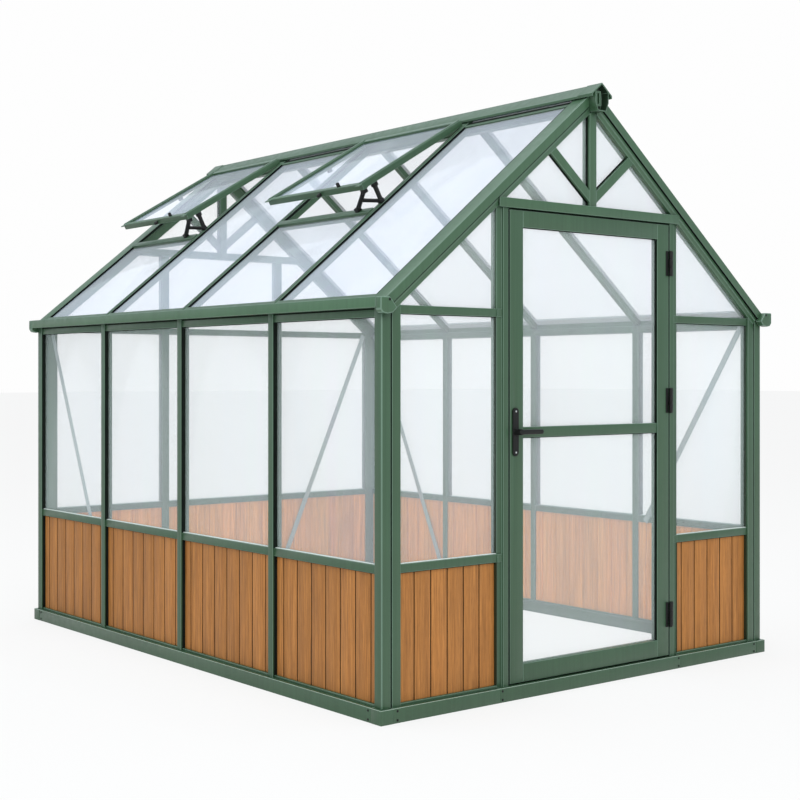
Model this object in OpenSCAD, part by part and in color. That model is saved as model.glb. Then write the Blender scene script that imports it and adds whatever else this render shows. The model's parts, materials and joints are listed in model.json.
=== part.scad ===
// Walk-in garden greenhouse: an aluminium frame on a base ring, boarded below the
// dado rail, glazed above it, with two roof vents propped open and one hinged door.
// Millimetres, +Z up, front gable with the door towards -Y, origin under the middle.

/* [Footprint] */
// Width of the base over its corner blocks
base_w = 1900; // [1700:10:2300]
// Length of the base over its corner blocks
base_l = 2460; // [2100:10:3600]
// Number of glazed bays along each side wall
bays = 4; // [3:1:6]

/* [Base] */
// Height of the base rails
base_h = 47; // [35:1:80]
// Depth of the base rails, from outside to inside
base_d = 50; // [50:1:70]
// Ledge of the base in front of the wall frame
base_lip = 12; // [4:1:13]
// Amount by which the corner blocks stand proud of the rails
corner_proud = 1; // [0.5:0.5:3]

/* [Wall frame] */
// Depth of the wall bars, from outside to inside
frame_d = 36; // [32:1:36]
// Width of a corner post
post_w = 36; // [30:1:50]
// Width of the gable stile beside each corner post
stile_w = 34; // [24:1:50]
// Width of the shadow groove between post and stile
stile_gap = 6; // [3:1:10]
// Depth of the shadow groove
groove_d = 12; // [6:1:20]
// Width of the side wall mullions
mullion_w = 28; // [24:1:40]
// Width of the two posts in the back wall
back_post_w = 36; // [26:1:50]
// Distance of the back wall posts from the middle
back_post_x = 317; // [250:1:380]
// Thickness of the bars in front of the glazing
lip_d = 18; // [14:1:20]
// Set back of the rails behind the faces of the posts
rail_back = 6; // [2:1:10]
// Depth of the glazing slots in the bars
bite = 8; // [5:0.5:9]
// Gap left at the bottom of a glazing slot
slot_gap = 1; // [0.5:0.5:2]
// Thickness of a glazing pane
pane_t = 4; // [3:0.5:8]
// Thickness of a boarded panel
panel_t = 10; // [8:0.5:14]

/* [Wall rails] */
// Height of the foot rail that holds the boarded panels
foot_rail_h = 8; // [7:1:30]
// Height of the underside of the dado rail
dado_z = 459; // [300:1:700]
// Height of the dado rail itself
dado_h = 27; // [20:1:50]
// Height of the eave rail over the side glazing
eave_rail_h = 28; // [20:1:40]
// Distance of the underside of the gable rails below the gutter floor
gable_rail_drop = 16; // [14:1:60]
// Height of a gable rail itself
gable_rail_h = 27; // [20:1:29]

/* [Roof] */
// Slope of the roof in degrees
roof_angle = 39; // [37:0.5:42]
// Width of the top flange of a gable rafter
rafter_w = 60; // [45:1:80]
// Depth of a gable rafter, square to the slope
rafter_h = 56; // [50:1:58]
// Thickness of the top flange of a gable rafter
rafter_flange = 14; // [13:0.5:20]
// Height of the set back foot of a gable rafter
rafter_step_h = 16; // [6:1:20]
// Set back of the foot of a gable rafter
rafter_step_d = 3; // [1:0.5:3]
// Distance of the rafter foot from the outside of the base, at the roof surface
rafter_foot = 22; // [20:1:30]
// Amount by which the rafters stand in front of the wall frame
rafter_proud = 4; // [2:0.5:8]
// Width of a roof bar
roof_bar_w = 24; // [20:1:36]
// Depth of a roof bar, square to the slope
roof_bar_h = 34; // [24:1:40]
// Thickness of the roof bars over the glazing
roof_lip = 8; // [4:0.5:10]

/* [Ridge] */
// Width of the ridge beam
ridge_w = 36; // [30:1:48]
// Depth of the ridge beam below the roof surface
ridge_drop = 74; // [60:1:100]
// Width of the web that carries the ridge cap
ridge_web = 8; // [4:1:14]
// Half width of the ridge cap
cap_half = 50; // [40:1:51]
// Thickness of the ridge cap
cap_t = 3; // [2:0.5:5]
// Height of the ridge cap above the roof surface
cap_rise = 16; // [14:1:24]
// Depth of the turned down edge of the ridge cap
cap_edge = 5; // [3:1:8]
// Length of the sleeve on each end of the ridge cap
sleeve_len = 70; // [60:1:120]
// Amount by which the sleeves stand above the ridge cap
sleeve_rise = 2; // [1:0.5:4]
// Amount by which the ridge ends stand in front of the base
ridge_over = 30; // [30:1:50]
// Height of the ridge end housing
ridge_end_h = 96; // [80:1:110]
// Half width of the ridge end housing
ridge_end_half = 33; // [30:1:45]
// Height of the bevelled foot of the ridge end housing
ridge_end_bevel = 30; // [15:1:45]

/* [Gutters] */
// Distance of the gutter's outer face beyond the base
gutter_out = 16; // [8:1:30]
// Distance of the gutter's inner face inside the base
gutter_in = 27; // [24:1:32]
// Height of the gutter's outer wall
gutter_h = 33; // [24:1:45]
// Drop of the gutter's floor below the roof surface at the base line
gutter_drop = 15; // [13:1:24]
// Wall thickness of the gutters
gutter_t = 3; // [2:0.5:4]
// Thickness of the gutter end caps
gutter_cap_t = 28; // [10:1:36]
// Size of the gutter end caps below the gutter floor
gutter_cap_drop = 20; // [10:1:30]

/* [Gable truss] */
// Height of the header beams over the door and the back posts
header_h = 32; // [24:1:50]
// Height of the rafters over the foot of the header, at the header's ends
header_seat = 2; // [0:0.5:40]
// Amount by which the headers stand in front of the wall frame
header_proud = 8; // [5:0.5:10]
// Width of the king posts
king_w = 34; // [24:1:50]
// Width of the slanted struts
strut_w = 32; // [20:1:40]
// Slope of the struts in degrees
strut_angle = 39; // [32:1:46]

/* [Roof vents] */
// Length of a vent along the slope
vent_len = 550; // [400:1:700]
// Angle at which the vents stand open
vent_open = 8.5; // [8:0.5:25]
// Width of the vent frame bars
vent_bar = 22; // [16:1:32]
// Height of the vent frame bars
vent_h = 24; // [14:1:30]
// Gap between a vent and the middle of the roof bars beside it
vent_side = 4; // [2:1:8]
// Distance of the vent hinge line from the ridge, along the slope
vent_hinge = 76; // [74:1:100]
// Length of the lips on the lower corners of a vent frame
vent_ear = 16; // [8:1:24]
// Amount by which the lower bar of a vent frame hangs below its sides
vent_sag = 2; // [0.5:0.5:3]
// Width of the sill bar under each vent
vent_sill_w = 28; // [20:1:34]
// Distance that the sill bar reaches out past the vent's lower edge
vent_sill_out = 22; // [14:1:26]
// Height that the sill bar stands above the roof bars
vent_sill_proud = 5; // [2:1:8]
// Depth of the sill bar and the head bar of a vent opening
vent_sill_h = 26; // [16:1:32]
// Overlap of the head bar under the vent, past its hinge line
vent_head_lap = 10; // [4:1:16]
// Width of the square arms of a vent stay
stay_w = 12; // [6:0.5:14]
// Size of the blocks that carry the arms of a vent stay
stay_block = 18; // [15:1:22]
// Distance of the long arm's foot from the edge of the opening
stay_side = 70; // [40:1:140]
// Distance up the slope of the stay's second arm from the sill bar
stay_step = 50; // [40:1:120]

/* [Door] */
// Width of the door leaf
door_w = 796; // [760:1:816]
// Height of the door leaf
door_h = 1567; // [1400:1:1580]
// Thickness of the door leaf
door_t = 30; // [24:1:34]
// Running gap round the door leaf
door_gap = 6; // [5:0.5:8]
// Width of the door stiles
door_stile_w = 61; // [45:1:80]
// Height of the top rail of the door
door_top_h = 55; // [40:1:90]
// Height of the bottom rail of the door
door_foot_h = 60; // [40:1:120]
// Height of the underside of the door's middle rail over the ground
door_mid_z = 865; // [700:1:1000]
// Height of the door's middle rail itself
door_mid_h = 35; // [28:1:60]
// Width of the flush face of a door jamb
jamb_face = 24; // [18:1:30]
// Width of the set back outer part of a door jamb
jamb_outer = 22; // [16:1:40]
// Set back of the outer part of a door jamb
jamb_step = 8; // [4:0.5:9]
// Overlap of the door stop behind the leaf
stop_lap = 4; // [2:0.5:6]
// Thickness of the door stop
stop_t = 5; // [3:0.5:8]
// Thickness of the low stops on the sill and under the header
thin_stop_t = 2; // [1:0.5:2]

/* [Hinges and handle] */
// Height of the middle of the lowest hinge over the foot of the leaf
hinge_low = 148; // [80:1:240]
// Height of the middle of the second hinge over the foot of the leaf
hinge_mid = 928; // [600:1:1000]
// Distance of the middle of the highest hinge from the top of the leaf
hinge_high = 140; // [80:1:240]
// Height of a door hinge
hinge_h = 90; // [60:1:120]
// Radius of a hinge knuckle
knuckle_r = 6.5; // [5:0.5:9]
// Radius of a hinge pin
pin_r = 3; // [2:0.25:4]
// Radial clearance of pins and spindles in their holes
pin_fit = 0.1; // [0.05:0.01:0.3]
// Thickness of a hinge plate
plate_t = 2.5; // [2:0.5:4]
// Width of a hinge plate beyond the knuckle
plate_w = 12; // [8:1:15]
// Height of the lever spindle over the ground
handle_z = 885; // [700:1:1100]
// Distance of the lever spindle from the free edge of the leaf
handle_in = 23; // [20:1:40]
// Width of a handle plate
handle_plate_w = 26; // [22:1:34]
// Height of a handle plate
handle_plate_h = 160; // [120:1:220]
// Thickness of a handle plate
handle_plate_t = 6; // [3:0.5:8]
// Radius of the lever spindle
spindle_r = 5; // [4:0.5:7]
// Radius of the boss that carries a lever
boss_r = 10; // [8:0.5:11]
// Distance of a lever's back from the handle plate
lever_gap = 20; // [16:1:24]
// Length of a lever from its spindle
lever_len = 100; // [80:1:140]
// Height of a lever
lever_h = 16; // [12:1:20]
// Thickness of a lever
lever_t = 11; // [8:1:14]

/* [Braces] */
// Width of the flat corner braces
brace_w = 25; // [16:1:35]
// Thickness of the flat corner braces
brace_t = 3; // [2:0.5:5]

/* [Hidden] */
$fn = 48;

green = [0.35, 0.46, 0.38];
wood = [0.72, 0.50, 0.32];
clear = [0.85, 0.90, 0.93, 0.35];
black = [0.10, 0.10, 0.10];
bright = [0.75, 0.77, 0.78];

// Front, right, back and left walls are numbered 0 to 3.
FRONT = 0;
RIGHT = 1;
BACK = 2;
LEFT = 3;

// Door opening, its stop and its jambs.
jamb_in = door_w / 2 + door_gap;
header_half = jamb_in + jamb_face + jamb_outer;
stop_y = door_t + door_gap;
stop_reach = door_gap + stop_lap;

// Outer planes of the wall frame.
side_x = base_w / 2 - base_lip;
end_y = base_l / 2 - base_lip;
bay = 2 * end_y / bays;

// Edges of the clear openings beside the gable stiles.
stile_outer = side_x - post_w;
stile_inner = stile_outer - stile_gap - stile_w;

// Heights; the door sets the header, and the rafters pass just over the header's ends.
panel_z = base_h + foot_rail_h;
glass_z = dado_z + dado_h;
door_z = base_h + door_gap;
door_top = door_z + door_h;
header_z = door_top + door_gap;
header_top = header_z + header_h;
ridge_z = header_z + header_seat + rafter_h / cos(roof_angle) + header_half * tan(roof_angle);
eave_z = ridge_z - base_w / 2 * tan(roof_angle);
gutter_z = eave_z - gutter_drop;
eave_rail_z = gutter_z - eave_rail_h;
gable_rail_z = gutter_z - gable_rail_drop;
cap_apex = ridge_z + cap_rise;
ridge_foot = ridge_z - ridge_drop;

// Axes of the door's hinges and lever.
hinge_x = jamb_in - door_gap / 2;
hinge_y = -end_y - knuckle_r - 0.5;
handle_x = -door_w / 2 + handle_in;
knuckle_gap = 0.5;
seat_gap = 0.1;

// Roof, measured along the slope from the base line up.
slope_len = base_w / 2 / cos(roof_angle);
vent_top = slope_len - vent_hinge;
vent_sill_s = vent_top - vent_len - vent_sill_out;
vent_lap = roof_bar_w / 2 - vent_side;
roof_pane_top = slope_len - ridge_w / 2 / cos(roof_angle) - slot_gap
    - (roof_lip + pane_t) * tan(roof_angle);
vent_bays = [0, 2];

// Height of the plane that lies n under the roof surface, at x.
function roof_z(x, n) = ridge_z - abs(x) * tan(roof_angle) - n / cos(roof_angle);

// Distance of a wall's outer plane from the middle.
function wall_off(wall) = (wall % 2 == 0) ? end_y : side_x;

// Clear opening of bay k of a side wall, as [first, last] along the wall.
function side_bay(k) = [
    (k == 0) ? -end_y + post_w : -end_y + k * bay + mullion_w / 2,
    (k == bays - 1) ? end_y - post_w : -end_y + (k + 1) * bay - mullion_w / 2
];

// Clear openings of the gable walls.
front_bays = [
    [-stile_inner, -header_half],
    [header_half, stile_inner]
];
back_bays = [
    [-stile_inner, -back_post_x - back_post_w / 2],
    [-back_post_x + back_post_w / 2, back_post_x - back_post_w / 2],
    [back_post_x + back_post_w / 2, stile_inner]
];

// Clear opening of roof bay k, counted from the back.
function roof_bay(k) = [
    (k == bays - 1) ? -end_y - rafter_proud + rafter_w : end_y - (k + 1) * bay + roof_bar_w / 2,
    (k == 0) ? end_y + rafter_proud - rafter_w : end_y - k * bay - roof_bar_w / 2
];

// Children drawn with x along the wall, y from its outer plane inwards, z up.
module on_wall(wall)
{
    rotate([0, 0, 90 * wall]) translate([0, -wall_off(wall), 0]) children();
}

// Children drawn with x up the left slope from the base line, y along the roof and
// z square to the roof surface; side 1 is the right slope.
module on_slope(side)
{
    mirror([side > 0 ? 1 : 0, 0, 0])
        translate([-base_w / 2, 0, eave_z]) rotate([0, -roof_angle, 0]) children();
}

// Prism under the plane that lies n below both slopes, between y0 and y1.
module under_roof(n, y0, y1)
{
    reach = base_w;
    translate([0, y1, 0]) rotate([90, 0, 0]) linear_extrude(y1 - y0) polygon([
        [-reach, -ridge_z], [reach, -ridge_z],
        [reach, roof_z(reach, n)], [0, roof_z(0, n)], [-reach, roof_z(reach, n)]
    ]);
}

// Upright bar with a slot for the infill in one or both sides.
module upright(u, w, z0, z1, slot_left, slot_right)
{
    translate([u, 0, z0]) linear_extrude(z1 - z0) difference() {
        translate([-w / 2, 0]) square([w, frame_d]);
        if (slot_left) translate([-w / 2 - 1, lip_d]) square([bite + 1, panel_t]);
        if (slot_right) translate([w / 2 - bite, lip_d]) square([bite + 1, panel_t]);
    }
}

// Level bar between two uprights, with slots for the infill above and below.
module crossbar(span, z, h, slot_top, slot_foot)
{
    half = bite / 2;
    translate([span[0], 0, z]) rotate([90, 0, 90]) linear_extrude(span[1] - span[0])
        difference() {
            translate([rail_back, 0]) square([frame_d - rail_back, h]);
            if (slot_top > 0) translate([lip_d, h - half]) square([slot_top, half + 1]);
            if (slot_foot > 0) translate([lip_d, -1]) square([slot_foot, half + 1]);
        }
}

// Flat infill that reaches into the slots round a clear opening.
module infill(span, z0, z1, t)
{
    side = bite - slot_gap;
    end = (bite - slot_gap) / 2;
    translate([span[0] - side, lip_d, z0 - end])
        cube([span[1] - span[0] + 2 * side, t, z1 - z0 + 2 * end]);
}

// Straight square arm from point p to point q.
module arm(p, q, w)
{
    d = q - p;
    len = norm(d);
    translate(p) rotate([0, acos(d[2] / len), atan2(d[1], d[0])])
        translate([-w / 2, -w / 2, 0]) cube([w, w, len]);
}

// ---- Base ----

module base_bar(len, depth)
{
    translate([-len / 2, -base_lip + corner_proud, 0]) cube([len, depth - corner_proud, base_h]);
}

module base_rails()
{
    color(green) {
        for (wall = [RIGHT, LEFT]) on_wall(wall) base_bar(base_l - 2 * base_d, base_d);
        on_wall(BACK) base_bar(base_w - 2 * base_d, base_d);
    }
}

module base_front_rails()
{
    len = base_w / 2 - base_d - header_half;
    color(green) on_wall(FRONT) for (side = [-1, 1])
        translate([side * (header_half + len / 2), 0, 0]) base_bar(len, base_d);
}

module door_sill()
{
    color(green) on_wall(FRONT) {
        base_bar(2 * header_half, base_d);
        translate([-jamb_in + stop_reach, stop_y, base_h])
            cube([2 * (jamb_in - stop_reach), thin_stop_t, stop_reach]);
    }
}

module base_corners()
{
    color(green) for (sx = [-1, 1], sy = [-1, 1])
        translate([sx * (base_w - base_d) / 2, sy * (base_l - base_d) / 2, base_h / 2])
            cube([base_d, base_d, base_h], center = true);
}

// ---- Uprights ----

module corner_posts()
{
    color(green) for (sx = [-1, 1], sy = [-1, 1]) mirror([sx > 0 ? 1 : 0, 0, 0])
        mirror([0, sy > 0 ? 1 : 0, 0]) translate([-side_x, -end_y, base_h])
            linear_extrude(gutter_z - base_h) difference() {
                square([post_w, post_w]);
                translate([lip_d, post_w - bite]) square([panel_t, bite + 1]);
            }
}

module gable_stile()
{
    translate([-stile_outer, 0, base_h]) linear_extrude(eave_z) difference() {
        union() {
            translate([0, groove_d]) square([stile_gap + 1, frame_d - groove_d]);
            translate([stile_gap, 0]) square([stile_w, frame_d]);
        }
        translate([stile_gap + stile_w - bite, lip_d]) square([bite + 1, panel_t]);
    }
}

module gable_stiles()
{
    color(green) for (wall = [FRONT, BACK]) intersection() {
        on_wall(wall) for (side = [0, 1]) mirror([side, 0, 0]) gable_stile();
        under_roof(rafter_h, -base_l, base_l);
    }
}

module side_mullions()
{
    color(green) for (wall = [RIGHT, LEFT], k = [1 : bays - 1]) on_wall(wall)
        upright(-end_y + k * bay, mullion_w, base_h, gutter_z, true, true);
}

module back_posts()
{
    color(green) on_wall(BACK) for (side = [-1, 1])
        upright(side * back_post_x, back_post_w, base_h, header_z, true, true);
}

module door_jamb()
{
    translate([jamb_in, 0, base_h]) linear_extrude(header_z - base_h) difference() {
        union() {
            square([jamb_face, stop_y + stop_t]);
            translate([jamb_face - 1, jamb_step])
                square([jamb_outer + 1, frame_d - jamb_step]);
            translate([-stop_reach, stop_y]) square([stop_reach + 1, stop_t]);
        }
        translate([jamb_face + jamb_outer - bite, lip_d]) square([bite + 1, panel_t]);
    }
}

module door_jambs()
{
    color(green) on_wall(FRONT) for (side = [0, 1]) mirror([side, 0, 0]) door_jamb();
}

// ---- Wall rails and infill ----

module every_bay(z, h, slot_top, slot_foot)
{
    for (wall = [RIGHT, LEFT], k = [0 : bays - 1])
        on_wall(wall) crossbar(side_bay(k), z, h, slot_top, slot_foot);
    for (span = front_bays) on_wall(FRONT) crossbar(span, z, h, slot_top, slot_foot);
    for (span = back_bays) on_wall(BACK) crossbar(span, z, h, slot_top, slot_foot);
}

module foot_rails()
{
    color(green) every_bay(base_h, foot_rail_h, panel_t, 0);
}

module dado_rails()
{
    color(green) every_bay(dado_z, dado_h, pane_t, panel_t);
}

module eave_rails()
{
    color(green) for (wall = [RIGHT, LEFT], k = [0 : bays - 1])
        on_wall(wall) crossbar(side_bay(k), eave_rail_z, eave_rail_h, 0, pane_t);
}

module gable_rails()
{
    color(green) {
        for (span = front_bays) on_wall(FRONT)
            crossbar(span, gable_rail_z, gable_rail_h, pane_t, pane_t);
        for (span = back_bays) on_wall(BACK)
            crossbar(span, gable_rail_z, gable_rail_h, pane_t, pane_t);
    }
}

module left_wood_panels()
{
    color(wood) on_wall(LEFT) for (k = [0 : bays - 1])
        infill(side_bay(k), panel_z, dado_z, panel_t);
}

module right_wood_panels()
{
    color(wood) on_wall(RIGHT) for (k = [0 : bays - 1])
        infill(side_bay(k), panel_z, dado_z, panel_t);
}

module front_wood_panels()
{
    color(wood) on_wall(FRONT) for (span = front_bays) infill(span, panel_z, dado_z, panel_t);
}

module back_wood_panels()
{
    color(wood) on_wall(BACK) for (span = back_bays) infill(span, panel_z, dado_z, panel_t);
}

module left_wall_panes()
{
    color(clear) on_wall(LEFT) for (k = [0 : bays - 1])
        infill(side_bay(k), glass_z, eave_rail_z, pane_t);
}

module right_wall_panes()
{
    color(clear) on_wall(RIGHT) for (k = [0 : bays - 1])
        infill(side_bay(k), glass_z, eave_rail_z, pane_t);
}

module front_wall_panes()
{
    color(clear) on_wall(FRONT) for (span = front_bays)
        infill(span, glass_z, gable_rail_z, pane_t);
}

module back_wall_panes()
{
    color(clear) on_wall(BACK) for (span = back_bays)
        infill(span, glass_z, gable_rail_z, pane_t);
}

// ---- Gables ----

// Slab that a gable pane may fill, up to the slots in the rafters.
module gable_glass(wall)
{
    y0 = end_y - lip_d - pane_t;
    rotate([0, 0, 90 * wall]) intersection() {
        under_roof(rafter_h - bite + slot_gap, -y0 - pane_t, -y0);
        translate([-base_w, -base_l, 0]) cube([2 * base_w, 2 * base_l, ridge_foot]);
    }
}

// One slope's rafter, drawn up the left slope at the front gable.
module gable_rafter()
{
    web = frame_d + rafter_proud;
    intersection() {
        on_slope(-1) translate([rafter_foot / cos(roof_angle), -end_y - rafter_proud, 0])
            rotate([90, 0, 90]) linear_extrude(slope_len) difference() {
                union() {
                    translate([0, -rafter_flange]) square([rafter_w, rafter_flange]);
                    translate([0, -rafter_h]) square([web, rafter_h]);
                }
                translate([-1, -rafter_h - 1])
                    square([rafter_step_d + 1, rafter_step_h + 1]);
                translate([rafter_w - bite, -roof_lip - pane_t]) square([bite + 1, pane_t]);
            }
        translate([-base_w, -base_l, 0]) cube([base_w - ridge_w / 2, 2 * base_l, 2 * ridge_z]);
    }
}

module gable_rafters()
{
    slot_y = -end_y + lip_d;
    color(green) for (back = [0, 1], side = [0, 1]) mirror([0, back, 0]) mirror([side, 0, 0])
        difference() {
            gable_rafter();
            under_roof(rafter_h - bite, slot_y, slot_y + pane_t);
        }
}

// Header beam, with a front plate that laps over the rafters.
module gable_header(door_stop)
{
    plate = header_proud - rafter_proud;
    slot = bite / 2;
    translate([-header_half, -header_proud, header_z]) cube([2 * header_half, plate, header_h]);
    difference() {
        intersection() {
            translate([-header_half, -rafter_proud, header_z])
                cube([2 * header_half, frame_d + rafter_proud, header_h]);
            translate([0, end_y, 0]) under_roof(rafter_h, -base_l, base_l);
        }
        translate([-base_w / 2, lip_d, header_top - slot]) cube([base_w, pane_t, slot + 1]);
        for (side = [0, 1]) mirror([side, 0, 0])
            translate([header_half - bite, lip_d, header_z - 1])
                cube([bite + 1, pane_t, header_h + 2]);
        if (!door_stop)
            translate([-base_w / 2, lip_d, header_z - 1]) cube([base_w, pane_t, slot + 1]);
    }
    if (door_stop) translate([-jamb_in + stop_reach, stop_y, header_z - stop_reach])
        cube([2 * (jamb_in - stop_reach), thin_stop_t, stop_reach + slot]);
}

module gable_headers()
{
    color(green) {
        on_wall(FRONT) gable_header(true);
        on_wall(BACK) gable_header(false);
    }
}

module king_posts()
{
    color(green) intersection() {
        for (wall = [FRONT, BACK]) on_wall(wall)
            upright(0, king_w, header_top, ridge_foot, true, true);
        under_roof(rafter_h, -base_l, base_l);
    }
}

module gable_struts()
{
    color(green) for (wall = [FRONT, BACK], side = [0, 1]) intersection() {
        on_wall(wall) mirror([side, 0, 0]) difference() {
            translate([0, 0, header_top]) rotate([0, -strut_angle, 0])
                cube([base_w, lip_d, strut_w]);
            translate([-base_w, -1, 0]) cube([base_w + king_w / 2, lip_d + 2, 2 * ridge_z]);
        }
        under_roof(rafter_h, -base_l, base_l);
    }
}

module gable_panes()
{
    side = bite - slot_gap;
    end = side / 2;
    half_king = king_w / 2 - side;
    tall = ridge_z;
    color(clear) {
        for (wall = [FRONT, BACK], s = [0, 1]) intersection() {
            gable_glass(wall);
            mirror([s, 0, 0]) translate([half_king, -base_l, header_top - end])
                cube([header_half, 2 * base_l, tall]);
        }
        for (span = front_bays) intersection() {
            gable_glass(FRONT);
            translate([span[0] - side, -base_l, gable_rail_z + gable_rail_h - end])
                cube([span[1] - span[0] + 2 * side, base_l, tall]);
        }
        for (span = back_bays) intersection() {
            gable_glass(BACK);
            translate([span[0] - side, 0, gable_rail_z + gable_rail_h - end])
                cube([span[1] - span[0] + 2 * side, base_l,
                    header_z + 2 * end - gable_rail_z - gable_rail_h]);
        }
    }
}

// ---- Roof ----

module roof_bar(y)
{
    intersection() {
        difference() {
            on_slope(-1) translate([gutter_t, y, 0]) rotate([90, 0, 90])
                linear_extrude(slope_len) difference() {
                    translate([-roof_bar_w / 2, -roof_bar_h]) square([roof_bar_w, roof_bar_h]);
                    for (side = [0, 1]) mirror([side, 0])
                        translate([roof_bar_w / 2 - bite, -roof_lip - pane_t])
                            square([bite + 1, pane_t]);
                }
            intersection() {
                translate([-base_w, y - roof_bar_w, 0])
                    cube([base_w / 2 + gutter_in, 2 * roof_bar_w, ridge_z]);
                under_roof(roof_lip, y - roof_bar_w, y + roof_bar_w);
            }
        }
        translate([-base_w, -base_l, gutter_z])
            cube([base_w - ridge_w / 2, 2 * base_l, ridge_z]);
    }
}

module roof_bars()
{
    color(green) for (side = [0, 1], k = [1 : bays - 1])
        mirror([side, 0, 0]) roof_bar(end_y - k * bay);
}

// Flat pane in the slots of roof bay k, from s0 to s1 up the slope.
module roof_pane(side, k, s0, s1)
{
    span = roof_bay(k);
    lap = bite - slot_gap;
    on_slope(side) translate([s0, span[0] - lap, -roof_lip - pane_t])
        cube([s1 - s0, span[1] - span[0] + 2 * lap, pane_t]);
}

module left_roof_panes()
{
    color(clear) for (k = [0 : bays - 1]) {
        vented = len(search(k, vent_bays)) > 0;
        roof_pane(-1, k, gutter_t, vented ? vent_sill_s + bite - slot_gap : roof_pane_top);
    }
}

module right_roof_panes()
{
    color(clear) for (k = [0 : bays - 1]) roof_pane(1, k, gutter_t, roof_pane_top);
}

module ridge_beam()
{
    half = ridge_w / 2;
    web = ridge_web / 2;
    under_cap = cap_apex - cap_t / cos(roof_angle) - seat_gap;
    shoulder = roof_z(half, 0);
    color(green) translate([0, end_y + rafter_proud, 0]) rotate([90, 0, 0])
        linear_extrude(2 * (end_y + rafter_proud)) polygon([
            [-half, ridge_foot], [half, ridge_foot], [half, shoulder],
            [web, roof_z(web, 0)], [web, under_cap - web * tan(roof_angle)], [0, under_cap],
            [-web, under_cap - web * tan(roof_angle)], [-web, roof_z(web, 0)], [-half, shoulder]
        ]);
}

// Folded sheet over the ridge, lifted by rise, with turned down edges.
module folded_cap(half, rise, t, len)
{
    apex = cap_apex + rise;
    under = apex - t / cos(roof_angle);
    drop = tan(roof_angle);
    translate([0, len / 2, 0]) rotate([90, 0, 0]) linear_extrude(len) polygon([
        [0, apex], [half, apex - half * drop], [half, under - half * drop - cap_edge],
        [half - t, under - half * drop - cap_edge], [half - t, under - (half - t) * drop],
        [0, under],
        [-half + t, under - (half - t) * drop], [-half + t, under - half * drop - cap_edge],
        [-half, under - half * drop - cap_edge], [-half, apex - half * drop]
    ]);
}

module ridge_cap()
{
    color(green) folded_cap(cap_half, 0, cap_t, base_l + 2 * ridge_over - 2 * sleeve_len);
}

// Outline of the ridge end housing, drawn inset by t.
module ridge_end_outline(t)
{
    half = ridge_end_half - t;
    shoulder = cap_apex - ridge_end_half * tan(roof_angle) - t;
    foot = cap_apex - ridge_end_h + t;
    bevel_h = ridge_end_bevel - t;
    foot_half = 0.62 * half;
    polygon([
        [0, cap_apex - t / cos(roof_angle)], [half, shoulder], [half, foot + bevel_h],
        [foot_half, foot], [-foot_half, foot], [-half, foot + bevel_h], [-half, shoulder]
    ]);
}

module ridge_end_caps()
{
    front = base_l / 2 + ridge_over;
    start = end_y + rafter_proud;
    plate = 6;
    wall = 3;
    color(green) for (back = [0, 1]) mirror([0, back, 0]) {
        difference() {
            translate([0, -start, 0]) rotate([90, 0, 0]) linear_extrude(front - start)
                ridge_end_outline(0);
            translate([0, -start - plate, 0]) rotate([90, 0, 0]) linear_extrude(front)
                ridge_end_outline(wall);
        }
        translate([0, -front + sleeve_len / 2, 0])
            folded_cap(cap_half, sleeve_rise, cap_t + sleeve_rise * cos(roof_angle), sleeve_len);
    }
}

// ---- Gutters ----

module gutter()
{
    out = -base_w / 2 - gutter_out;
    in = -base_w / 2 + gutter_in;
    under_pane = roof_lip + pane_t;
    translate([0, end_y + rafter_proud, 0]) rotate([90, 0, 0])
        linear_extrude(2 * (end_y + rafter_proud)) polygon([
            [out, gutter_z + gutter_h], [out, gutter_z], [in, gutter_z],
            [in, roof_z(in, under_pane)], [in - gutter_t, roof_z(in - gutter_t, under_pane)],
            [in - gutter_t, gutter_z + gutter_t], [out + gutter_t, gutter_z + gutter_t],
            [out + gutter_t, gutter_z + gutter_h]
        ]);
}

module gutters()
{
    color(green) for (side = [0, 1]) mirror([side, 0, 0]) gutter();
}

// End cap that follows the gutter outside and the rafter's square cut foot inside.
module gutter_end_cap()
{
    out = -base_w / 2 - gutter_out;
    top = gutter_z + gutter_h;
    foot = gutter_z - gutter_cap_drop;
    foot_x = -base_w / 2 + rafter_foot;
    foot_top = roof_z(foot_x, 0);
    run = foot_top - gutter_z;
    curve = 14;
    translate([0, -end_y - rafter_proud, 0]) rotate([90, 0, 0]) linear_extrude(gutter_cap_t)
        polygon([
            [out, top], [out, foot + curve], [out + 0.6 * curve, foot + 0.2 * curve],
            [out + 2 * curve, foot], [out + 3.5 * curve, foot + 0.3 * curve],
            [foot_x + run * tan(roof_angle), gutter_z],
            [foot_x, foot_top]
        ]);
}

module gutter_end_caps()
{
    color(green) for (side = [0, 1], back = [0, 1])
        mirror([side, 0, 0]) mirror([0, back, 0]) gutter_end_cap();
}

// ---- Roof vents ----

// Children drawn as on a slope, turned open about the hinge line.
module on_vent()
{
    on_slope(-1) translate([vent_top, 0, 0]) rotate([0, vent_open, 0]) children();
}

// Sides of the vent over roof bay k.
function vent_span(k) = [
    roof_bay(k)[0] - vent_lap,
    roof_bay(k)[1] + vent_lap
];

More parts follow.
